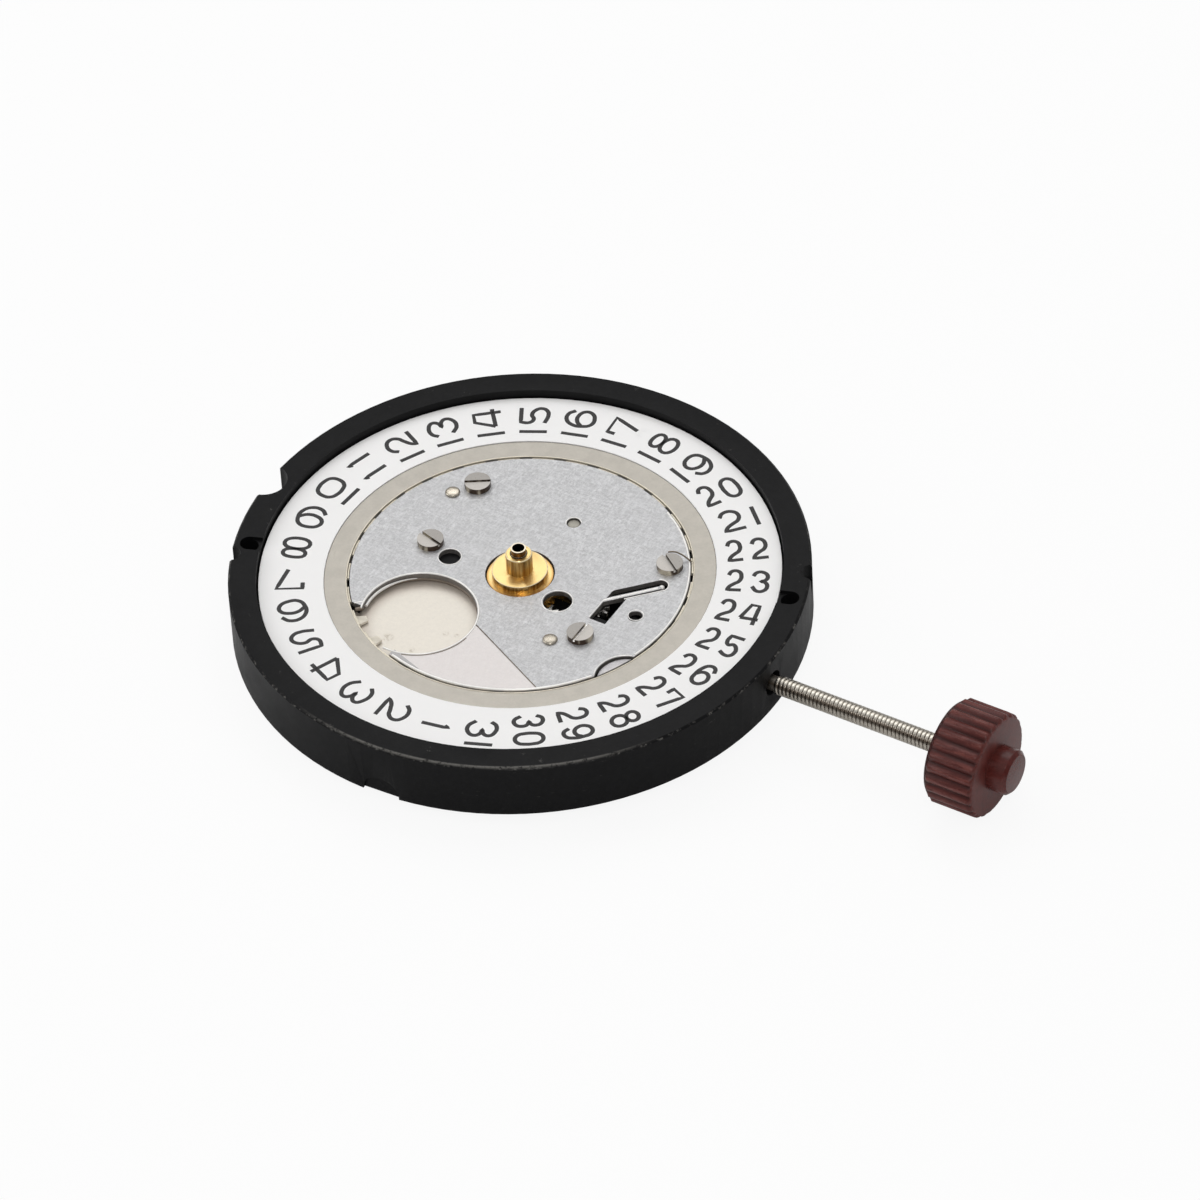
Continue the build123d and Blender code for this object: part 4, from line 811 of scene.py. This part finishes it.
def new_curve(name, radius, steps, round_steps):
    """An empty curve in space, thick and closed at its ends."""
    curve = bpy.data.curves.new(name, "CURVE")
    curve.dimensions = "3D"
    curve.bevel_depth = radius
    curve.bevel_resolution = round_steps
    curve.resolution_u = steps
    curve.use_fill_caps = True
    return curve


def new_spline(curve, count):
    spline = curve.splines.new("BEZIER")
    spline.bezier_points.add(count - 1)
    return spline


def curve_mesh(curve):
    piece = bpy.data.objects.new(curve.name, curve)
    bpy.context.scene.collection.objects.link(piece)
    pick(piece)
    bpy.ops.object.convert(target="MESH")
    return bpy.context.active_object


def curve_piece(name, points, radius, thin=0):
    """A round wire through some places, in millimetres, which grows over its first thin knots."""
    curve = new_curve(name, radius * MM, 8, 3)
    knots = new_spline(curve, len(points)).bezier_points
    for place, (knot, point) in enumerate(zip(knots, points)):
        knot.co = Vector(point) * MM
        knot.radius = min(1, (place + 1) / (thin + 1))
        knot.handle_left_type = knot.handle_right_type = "AUTO"
    piece = curve_mesh(curve)
    smooth(piece, 50)
    return piece


def arc_points(centre, radius, level, start, end):
    """Places along an arc, about one in each step."""
    count = max(3, round((end - start) / ARC_STEP))
    angles = [math.radians(start + (end - start) * k / count) for k in range(count + 1)]
    return [(centre[0] + radius * math.cos(a), centre[1] + radius * math.sin(a), level)
            for a in angles]


def arc_piece(centre, radius, level, start, end, wire, thin=0):
    return curve_piece("arc", arc_points(centre, radius, level, start, end), wire, thin)


# Numerals: each stroke runs through its points, and a point marked True is a corner.
# Across runs from -0.5 to 0.5 and up from 0 to 1.

SIX = [(0.48, 0.78), (0.22, 1.0), (-0.20, 0.98), (-0.47, 0.70), (-0.49, 0.39), (-0.31, 0.06),
       (0.11, 0.0), (0.46, 0.18), (0.48, 0.44), (0.16, 0.62), (-0.20, 0.59), (-0.45, 0.42)]
GLYPHS = {
    "0": [[(0, 1), (0.36, 0.90), (0.5, 0.62), (0.5, 0.38), (0.36, 0.10), (0, 0), (-0.36, 0.10),
           (-0.5, 0.38), (-0.5, 0.62), (-0.36, 0.90)]],
    "1": [[(-0.5, 0.84), (0, 1, True), (0, 0)]],
    "I": [[(0, 1), (0, 0)]],
    "2": [[(-0.5, 0.78), (-0.28, 0.99), (0.17, 0.99), (0.40, 0.75), (0.28, 0.48), (0.0, 0.36),
           (-0.33, 0.20), (-0.48, 0.02, True), (0.5, 0.03)]],
    "3": [[(-0.5, 0.78), (-0.27, 0.98), (0.20, 0.98), (0.45, 0.80), (0.35, 0.60),
           (0.04, 0.52, True), (0.36, 0.46), (0.5, 0.27), (0.32, 0.05), (-0.12, 0.0),
           (-0.5, 0.24)]],
    "4": [[(-0.5, 0.28, True), (-0.15, 1, True), (0.29, 1, True), (0.30, 0)],
          [(-0.5, 0.28), (0.5, 0.30)]],
    "5": [[(0.5, 1.0), (-0.45, 0.98, True), (-0.47, 0.66), (-0.25, 0.52), (0.05, 0.60),
           (0.38, 0.46), (0.47, 0.24), (0.30, 0.04), (0, 0), (-0.5, 0.12)]],
    "6": [SIX],
    "7": [[(-0.5, 0.70), (-0.5, 1, True), (0.5, 1, True), (0.07, 0)]],
    "8": [[(0, 1), (0.44, 0.79), (0, 0.56), (-0.44, 0.79)],
          [(0, 0.56), (0.5, 0.28), (0, 0), (-0.5, 0.28)]],
    "9": [[(-x, 1 - y) for x, y in SIX]],
}
CLOSED_GLYPHS = ("0", "8")
NUMERAL_COUNT = 31
NUMERAL_STEP = 360 / NUMERAL_COUNT
# The first number's angle, from where the 15 stands
NUMERAL_FIRST = 117.39 + 14 * NUMERAL_STEP
# How far the numbers stand off their own middle line, and how flat the print is
NUMERAL_LIFT = 0.055
NUMERAL_RELIEF = 0.10
# Numbers of their own layout: each glyph with its place along the radius and its width
OWN_LAYOUTS = {
    1: [("1", 10.42, 0.42)], 4: [("4", 10.34, 1.60)], 11: [("1", 9.69, 0.40), ("1", 10.83, 0.40)],
    14: [("I", 9.45, 1.0), ("4", 10.55, 1.40)], 21: [("2", 9.98, 1.17), ("I", 11.07, 1.0)],
    24: [("2", 9.69, 0.84), ("4", 10.82, 1.02)], 31: [("3", 10.20, 1.12), ("I", 11.18, 1.0)],
}


def number_glyphs(number):
    """The glyphs of a number: which one, its place along the radius and its width."""
    tens, ones = divmod(number, 10)
    if number in OWN_LAYOUTS:
        return OWN_LAYOUTS[number]
    if not tens:
        return [(str(ones), 10.34, 1.38)]
    if tens == 1:
        return [("I", 9.45, 1.0), (str(ones), 10.55, 1.22)]
    return [(str(tens), 9.69, 0.84), (str(ones), 10.82, 0.88)]


class MOVEMENT_OT_numerals(Operator):
    """Prints the numbers 1 to 31 on the date band"""
    bl_idname = "movement.numerals"
    bl_label = "Date numerals"

    def execute(self, context):
        sizes = settings().sizes
        stroke = sizes.numeral_stroke / MM
        height = sizes.numeral_height / MM - stroke
        curve = new_curve("date_numerals", sizes.numeral_stroke / 2, 5, 1)
        for number in range(1, NUMERAL_COUNT + 1):
            angle = math.radians(NUMERAL_FIRST - (number - 1) * NUMERAL_STEP)
            outward = Vector((math.cos(angle), math.sin(angle), 0))
            upward = Vector((-math.sin(angle), math.cos(angle), 0))
            for glyph, place, width in number_glyphs(number):
                for points in GLYPHS[glyph]:
                    spline = new_spline(curve, len(points))
                    spline.use_cyclic_u = glyph in CLOSED_GLYPHS
                    for knot, (across, up, *corner) in zip(spline.bezier_points, points):
                        across = place + across * (width - stroke)
                        up = (up - 0.5) * height + NUMERAL_LIFT
                        knot.co = (outward * across + upward * up + Z_AXIS * BAND_TOP) * MM
                        knot.handle_left_type = "VECTOR" if corner else "AUTO"
                        knot.handle_right_type = knot.handle_left_type
        piece = curve_mesh(curve)
        edit(piece)
        bpy.ops.transform.resize(value=(1, 1, NUMERAL_RELIEF),
                                 center_override=(0, 0, BAND_TOP * MM))
        leave_edit()
        smooth(piece, 60)
        own(piece, "date_disc", "printed_white", "ink")
        return {"FINISHED"}


class MOVEMENT_OT_date_disc(Operator):
    """Finishes the date ring and its printed band"""
    bl_idname = "movement.date_disc"
    bl_label = "Date disc"

    def execute(self, context):
        dress("date_ring", edge=SPRING_EDGE, segments=1)
        dress("date_band", edge=TUBE_EDGE)
        return {"FINISHED"}


class MOVEMENT_OT_main_plate(Operator):
    """Finishes the black moulded plate"""
    bl_idname = "movement.main_plate"
    bl_label = "Main plate"

    def execute(self, context):
        dress("main_plate", edge=settings().sizes.moulded_edge)
        return {"FINISHED"}


class MOVEMENT_OT_cover_plates(Operator):
    """Finishes the sheet metal plates over the calendar"""
    bl_idname = "movement.cover_plates"
    bl_label = "Cover plates"

    def execute(self, context):
        dress("cover_plate", edge=PLATE_EDGE, segments=3)
        dress("cell_side_plate", edge=SCREW_EDGE, segments=3)
        return {"FINISHED"}


class MOVEMENT_OT_cover_fixings(Operator):
    """Finishes the slotted screws and the pins of the cover plate"""
    bl_idname = "movement.cover_fixings"
    bl_label = "Cover fixings"

    def execute(self, context):
        dress("cover_screws", edge=SCREW_EDGE, segments=3)
        dress("locating_pins", finish_name="pin_steel", edge=PIN_EDGE)
        for name, (place, half_size, finish_name) in DOMES.items():
            dome = squashed_ball(name + ".dome", place, half_size)
            own(dome, "movement", "turned_steel", finish_name)
        return {"FINISHED"}


class MOVEMENT_OT_hand_tubes(Operator):
    """Finishes the pipe and the tubes that carry the hands"""
    bl_idname = "movement.hand_tubes"
    bl_label = "Hand tubes"

    def execute(self, context):
        dress("hour_pipe", edge=PIN_EDGE)
        # Painted highlights on the pipe's rims
        rims = joined("hour_pipe_rims", [arc_piece(*arc) for arc in BRASS_ARCS])
        own_as(rims, "hour_pipe", "brass_edge")
        cannon = dress("cannon_pinion", edge=TUBE_EDGE)
        scale_corners(cannon, lambda place: (place.z > MOUTH_LEVEL * MM
                                             and place.xy.length < MOUTH_REACH * MM),
                      (MOUTH_SPREAD, MOUTH_SPREAD, 1))
        dress("centre_tube", "second_arbor", edge=ARBOR_EDGE)
        return {"FINISHED"}


class MOVEMENT_OT_cell(Operator):
    """Finishes the cell and its contact springs"""
    bl_idname = "movement.cell"
    bl_label = "Cell"

    def execute(self, context):
        dress("cell_cap", edge=CAP_EDGE, segments=4)
        dress("cell_face_disc", edge=TUBE_EDGE)
        dress("cell_can", edge=CAN_EDGE, segments=4)
        dress("cell_gasket", "positive_contact", "negative_contact")
        return {"FINISHED"}


class MOVEMENT_OT_wheels(Operator):
    """Finishes the wheels, pinions and posts"""
    bl_idname = "movement.wheels"
    bl_label = "Wheels"

    def execute(self, context):
        dress("hour_wheel", "minute_wheel", "date_wheel", "centre_wheel", "second_wheel",
              "third_wheel", "intermediate_wheel", "centre_bush", finish_name="wheel_brass",
              edge=GEAR_EDGE, segments=1)
        dress("date_corrector", "minute_pinion", "setting_wheel", "third_pinion",
              "intermediate_pinion", "rotor_pinion", "sliding_pinion", "steel_posts",
              edge=GEAR_EDGE, segments=1)
        return {"FINISHED"}


class MOVEMENT_OT_springs(Operator):
    """Finishes the calendar's springs and the setting levers"""
    bl_idname = "movement.springs"
    bl_label = "Springs and levers"

    def execute(self, context):
        dress("date_finger", "date_jumper", "setting_lever", "yoke", edge=SPRING_EDGE, segments=1)
        return {"FINISHED"}


class MOVEMENT_OT_calendar_guard(Operator):
    """Adds the small domed guard that shows in the bite at the cover plate's rim"""
    bl_idname = "movement.calendar_guard"
    bl_label = "Calendar guard"

    def execute(self, context):
        guard = squashed_ball("calendar_guard", *GUARD)
        bpy.ops.mesh.primitive_cylinder_add(vertices=256, radius=GUARD_REACH * MM, depth=1 * MM,
                                            location=(0, 0, PLATE_TOP * MM))
        disc = context.active_object
        settle(disc)
        modify(guard, "BOOLEAN", operation="INTERSECT", object=disc)
        bpy.data.objects.remove(disc)
        soften(guard, SPRING_EDGE, 2, 50)
        own(guard, "movement", "nickel_sheet", "guard_steel")
        return {"FINISHED"}


class MOVEMENT_OT_bright_edges(Operator):
    """Adds painted highlights along the edges of the stamped plates and of the cell's face, and
    painted shade in the cell's opening and along the seam
    """
    bl_idname = "movement.bright_edges"
    bl_label = "Bright edges"

    def execute(self, context):
        wires = [arc_piece(*arc) for arc in EDGE_ARCS]
        wires += [curve_piece("edge", *line) for line in EDGE_LINES]
        wires.append(squashed_ball("edge", *TONGUE_END))
        own(joined("plate_edges", wires), "movement", "nickel_sheet", "bright_edge")
        # Painted shade in the cell's opening and at its mouth, and painted shade lines beyond the
        # rim and along the seam
        sleeve = [arc_piece(*OPENING_SHADE_ARC), curve_piece("lip", *MOUTH_LINE)]
        own(joined("opening_sleeve", sleeve), "movement", "cell_cap_steel", "sleeve_brown")
        lines = [arc_piece(*SHADE_ARC), curve_piece("seam", *SEAM_LINE)]
        own(joined("seam_lines", lines), "movement", "pale_sheet", "sleeve_brown")
        return {"FINISHED"}


class MOVEMENT_OT_ring_edge(Operator):
    """Adds a painted highlight along the date ring's inner edge and bars of painted light at the
    roots of its teeth
    """
    bl_idname = "movement.ring_edge"
    bl_label = "Date ring edge"

    def execute(self, context):
        rim, roots = arc_piece(*RING_ARC), arc_piece(*ROOT_ARC)
        edit(roots)
        for _ in range(TOOTH_COUNT - 1):
            bpy.ops.mesh.duplicate()
            bpy.ops.transform.rotate(value=math.tau / TOOTH_COUNT, orient_axis="Z",
                                     center_override=(0, 0, 0))
        leave_edit()
        own(joined("date_ring_edge", [rim, roots]), "date_disc", "ring_metal", "cream_edge")
        return {"FINISHED"}


def outlined(name, places):
    """A flat face through some places, left open in edit mode with all of it selected."""
    pick()
    bpy.ops.mesh.primitive_circle_add(vertices=len(places), radius=MM, fill_type="NGON")
    piece = bpy.context.active_object
    piece.name = name
    edit(piece)
    mesh = bmesh.from_edit_mesh(piece.data)
    for corner, place in zip(mesh.verts, places):
        corner.co = Vector(place) * MM
    bmesh.update_edit_mesh(piece.data)
    return piece


class MOVEMENT_OT_ground_flat(Operator):
    """Adds the ground flat at the rim of the plate beside the cell, grey with painted shade"""
    bl_idname = "movement.ground_flat"
    bl_label = "Ground flat"

    def execute(self, context):
        low, high = FLAT_LEVELS
        rim = arc_points((0, 0), PLATE_RADIUS, low, FLAT_ANGLES[1], FLAT_ANGLES[0])[::-1]
        flat = outlined("ground_flat", [(x, y, low) for x, y in FLAT_CORNERS] + rim)
        rise = {"value": (0, 0, (high - low) * MM)}
        bpy.ops.mesh.extrude_region_move(TRANSFORM_OT_translate=rise)
        leave_edit()
        recalculate(flat)
        soften(flat, ARBOR_EDGE, 1)
        own(flat, "movement", "pale_sheet", "grey_flat")
        return {"FINISHED"}


class MOVEMENT_OT_jumper_wire(Operator):
    """Adds the thin wire that runs from the date jumper over its screw"""
    bl_idname = "movement.jumper_wire"
    bl_label = "Jumper wire"

    def execute(self, context):
        own(curve_piece("jumper_wire", *WIRE_LINE), "movement", "spring_steel", "wire_brown")
        return {"FINISHED"}


class MOVEMENT_OT_motor(Operator):
    """Finishes the step motor"""
    bl_idname = "movement.motor"
    bl_label = "Step motor"

    def execute(self, context):
        dress("rotor_magnet", "stator", "coil_core", "coil_bobbin", "coil_winding", "motor_screws",
              edge=SPRING_EDGE, segments=1)
        return {"FINISHED"}


class MOVEMENT_OT_circuit(Operator):
    """Finishes the circuit board, its chip and the crystal"""
    bl_idname = "movement.circuit"
    bl_label = "Circuit"

    def execute(self, context):
        dress("circuit_board", "circuit_chip", "crystal_can")
        return {"FINISHED"}


class MOVEMENT_OT_back(Operator):
    """Finishes the plates and screws of the back"""
    bl_idname = "movement.back"
    bl_label = "Back plates"

    def execute(self, context):
        dress("module_cover", "train_bridge")
        dress("bridge_screws", "module_screws", edge=PIN_EDGE)
        return {"FINISHED"}


def new_thread(pitch, depth):
    """One turn's profile, screwed along the stem, with its ends closed."""
    pick()
    bpy.ops.mesh.primitive_plane_add(size=pitch)
    thread = bpy.context.active_object
    thread.name = "stem_thread"
    edit(thread)
    bpy.ops.mesh.delete(type="VERT")
    mesh = bmesh.from_edit_mesh(thread.data)
    base = (THREAD_CREST - THREAD_SINK) * MM - depth
    knots = [mesh.verts.new((THREAD_START * MM + share * pitch, 0, base + depth * high))
             for share, high in THREAD_PROFILE]
    for first, second in zip(knots, knots[1:]):
        mesh.edges.new((first, second))
    bmesh.update_edit_mesh(thread.data)
    modify(thread, "SCREW", axis="X", steps=THREAD_STEPS, render_steps=THREAD_STEPS,
           iterations=int((THREAD_END - THREAD_START) * MM / pitch), screw_offset=pitch,
           use_merge_vertices=True, merge_threshold=WELD)
    edit(thread)
    bpy.ops.mesh.remove_doubles(threshold=WELD)
    bpy.ops.mesh.select_all(action="DESELECT")
    bpy.ops.mesh.select_non_manifold()
    bpy.ops.mesh.edge_face_add()
    bpy.ops.mesh.select_all(action="SELECT")
    bpy.ops.mesh.normals_make_consistent(inside=False)
    bpy.ops.transform.translate(value=(0, 0, STEM_LEVEL * MM))
    leave_edit()
    smooth(thread, 50)
    return thread


class MOVEMENT_OT_stem(Operator):
    """Cuts the thread of the winding stem"""
    bl_idname = "movement.stem"
    bl_label = "Winding stem"

    def execute(self, context):
        sizes = settings().sizes
        core = merged_copy("stem")
        share = 1 - sizes.thread_depth / (THREAD_CREST * MM)
        scale_corners(core, lambda place: place.x > (THREAD_START - STEM_MARGIN) * MM,
                      (1, share, share), (0, 0, STEM_LEVEL * MM))
        soften(core, GEAR_EDGE, 1)
        own_as(new_thread(sizes.thread_pitch, sizes.thread_depth), "stem")
        own_as(core, "stem")
        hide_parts("stem")
        return {"FINISHED"}


def grip_place(station, step):
    """A place on the crown's ribbed outline: one of its steps, at one station along it."""
    along, low, rise = station
    turn = math.tau * step / (RIB_COUNT * RIB_STEPS)
    wave = (0.5 + 0.5 * math.cos(RIB_COUNT * turn)) ** RIB_POWER
    reach, angle = low + rise * wave, turn + math.radians(RIB_TURN)
    return Vector((along, reach * math.cos(angle), STEM_LEVEL + reach * math.sin(angle)))


def crown_grip():
    """The crown's rounded ribs: one outline, drawn out from station to station."""
    count = RIB_COUNT * RIB_STEPS
    grip = outlined("crown_grip", [grip_place(GRIP_STATIONS[0], step) for step in range(count)])
    for station in GRIP_STATIONS[1:]:
        bpy.ops.mesh.extrude_region_move()
        mesh = bmesh.from_edit_mesh(grip.data)
        for corner in [v for v in mesh.verts if v.select]:
            turn = math.atan2(corner.co.z - STEM_LEVEL * MM, corner.co.y) - math.radians(RIB_TURN)
            corner.co = grip_place(station, round(turn * count / math.tau)) * MM
    bmesh.update_edit_mesh(grip.data)
    leave_edit()
    recalculate(grip)
    smooth(grip, 55)
    return grip


class MOVEMENT_OT_crown(Operator):
    """Finishes the setting crown"""
    bl_idname = "movement.crown"
    bl_label = "Crown"

    def execute(self, context):
        core = merged_copy("crown")
        axis = Vector((0, 0, STEM_LEVEL * MM))
        scale_corners(core, lambda place: (place - axis).yz.length > RIB_FOOT * MM,
                      (1, CORE_SHARE, CORE_SHARE), axis)
        soften(core, CROWN_EDGE, 3)
        own_as(core, "crown")
        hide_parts("crown")
        own_as(crown_grip(), "crown")
        return {"FINISHED"}


# The stage, in metres and degrees. The camera has the photograph's own view of the movement.
CAMERA_PLACE = (0.1648662, -0.2435063, 0.2725964)
CAMERA_TURN = (47.151811, 2.63711, 30.973836)
CAMERA_LENS = 267.3
CAMERA_SENSOR = 36.0
CAMERA_REACH = (0.01, 10)

# The movement rests on its crown, its cell and a screw of the back, so the floor leans a little.
REST_POINT = (-0.011408, 0.000474, -0.0001)
REST_NORMAL = (0.02746, -0.00505, 0.99961)
FLOOR_SIZE = 1.6
ROOM_FRONT = (0.56, -0.83, 0)
# Soft lamps that face the movement: place and size
LAMPS = {"key_lamp": ((-0.10, 0.16, 0.26), (0.30, 0.22)),
         "side_lamp": ((-0.26, -0.12, 0.14), (0.10, 0.20)),
         "front_lamp": ((0.16, -0.24, 0.32), (0.12, 0.12))}


def add_camera():
    turn = [math.radians(angle) for angle in CAMERA_TURN]
    bpy.ops.object.camera_add(location=CAMERA_PLACE, rotation=turn)
    camera = bpy.context.active_object
    camera.name = "camera"
    camera.data.lens = CAMERA_LENS
    camera.data.sensor_width = CAMERA_SENSOR
    camera.data.clip_start, camera.data.clip_end = CAMERA_REACH
    bpy.context.scene.camera = camera


def add_lamps():
    for name, (place, size) in LAMPS.items():
        turn = Vector(place).to_track_quat("Z", "Y").to_euler()
        bpy.ops.object.light_add(type="AREA", location=place, rotation=turn)
        lamp = bpy.context.active_object
        lamp.name = name
        lamp.data.shape = "RECTANGLE"
        lamp.data.size, lamp.data.size_y = size
        lamp.data.energy = getattr(settings().stage, name)


def floor_material():
    """A pale floor: near white to the camera, and still with the object's shadow."""
    material, shader, place = new_material("floor", {"Roughness": 0.9})
    links, nodes = material.node_tree.links, material.node_tree.nodes
    base = varied(place.noise(0.02, 3), settings().stage.floor, 0.01)
    links.new(base.socket, shader.inputs["Base Color"])
    seen = place.node("ShaderNodeLightPath", {}, {}, "Is Camera Ray")
    glow = place.node("ShaderNodeEmission", {}, {"Color": (1, 1, 1, 1), "Strength": 1.0})
    mixed = place.node("ShaderNodeMixShader", {},
                       {0: seen * 0.90, 1: Wire(place.tree, shader.outputs[0]), 2: glow})
    links.new(mixed.socket, nodes["Material Output"].inputs["Surface"])
    return material


def add_floor():
    pick()
    bpy.ops.mesh.primitive_plane_add(size=FLOOR_SIZE)
    floor = bpy.context.active_object
    floor.name = "floor"
    turn = Z_AXIS.rotation_difference(Vector(REST_NORMAL))
    floor.matrix_world = Matrix.Translation(REST_POINT) @ turn.to_matrix().to_4x4()
    settle(floor)
    floor.data.materials.append(floor_material())


def add_room():
    """Even room light, white behind the object and a little darker low down for the metal."""
    world = bpy.data.worlds.new("room")
    bpy.context.scene.world = world
    world.use_nodes = True
    tree = world.node_tree
    shader = tree.nodes["Background"]
    direction = Wire(tree).node("ShaderNodeTexCoord", {}, {}, "Generated")
    front = direction.vector("DOT_PRODUCT", ROOM_FRONT, output=1)
    level = direction.parts()[2].rise(-0.1, 0.9) * 0.55 + 0.45
    level = level * (1 - front.rise(0.1, 0.9) * 0.5)
    seen = direction.node("ShaderNodeLightPath", {}, {}, "Is Camera Ray")
    strength = seen.most(level * settings().stage.sky)
    tree.links.new(strength.socket, shader.inputs["Strength"])
    shader.inputs["Color"].default_value = (1, 1, 1, 1)


class MOVEMENT_OT_stage(Operator):
    """Sets the floor, the lamps, the room and the camera"""
    bl_idname = "movement.stage"
    bl_label = "Stage"

    def execute(self, context):
        add_floor()
        add_lamps()
        add_room()
        add_camera()
        context.scene.view_settings.view_transform = "Standard"
        return {"FINISHED"}


class MOVEMENT_PT_pieces(Panel):
    """Lists the pieces that can be finished"""
    bl_idname = "MOVEMENT_PT_pieces"
    bl_label = "Watch movement"
    bl_space_type = "VIEW_3D"
    bl_region_type = "UI"
    bl_category = "Movement"

    def draw(self, context):
        for group in ("sizes", "colours", "stage"):
            values = getattr(settings(), group)
            box = self.layout.box()
            for name in values.__annotations__:
                box.prop(values, name)
        for operator in OPERATORS:
            self.layout.operator(operator.bl_idname)


OPERATORS = (
    MOVEMENT_OT_main_plate, MOVEMENT_OT_date_disc, MOVEMENT_OT_numerals, MOVEMENT_OT_cover_plates,
    MOVEMENT_OT_cover_fixings, MOVEMENT_OT_hand_tubes, MOVEMENT_OT_cell, MOVEMENT_OT_wheels,
    MOVEMENT_OT_springs, MOVEMENT_OT_calendar_guard, MOVEMENT_OT_bright_edges,
    MOVEMENT_OT_ring_edge, MOVEMENT_OT_ground_flat, MOVEMENT_OT_jumper_wire, MOVEMENT_OT_motor,
    MOVEMENT_OT_circuit, MOVEMENT_OT_back, MOVEMENT_OT_stem, MOVEMENT_OT_crown,
    MOVEMENT_OT_stage,
)
CLASSES = (MovementSizes, MovementColours, StageSettings, MovementSettings, *OPERATORS,
           MOVEMENT_PT_pieces)


def register():
    for item in CLASSES:
        bpy.utils.register_class(item)
    bpy.types.Scene.movement = bpy.props.PointerProperty(type=MovementSettings)


def unregister():
    del bpy.types.Scene.movement
    for item in reversed(CLASSES):
        bpy.utils.unregister_class(item)


def main():
    """Registers the tools, finishes every piece in turn and sets the stage."""
    register()
    bpy.ops.movement.main_plate()
    bpy.ops.movement.date_disc()
    bpy.ops.movement.numerals()
    bpy.ops.movement.cover_plates()
    bpy.ops.movement.cover_fixings()
    bpy.ops.movement.hand_tubes()
    bpy.ops.movement.cell()
    bpy.ops.movement.wheels()
    bpy.ops.movement.springs()
    bpy.ops.movement.calendar_guard()
    bpy.ops.movement.bright_edges()
    bpy.ops.movement.ring_edge()
    bpy.ops.movement.ground_flat()
    bpy.ops.movement.jumper_wire()
    bpy.ops.movement.motor()
    bpy.ops.movement.circuit()
    bpy.ops.movement.back()
    bpy.ops.movement.stem()
    bpy.ops.movement.crown()
    bpy.ops.movement.stage()


if __name__ == "__main__":
    main()
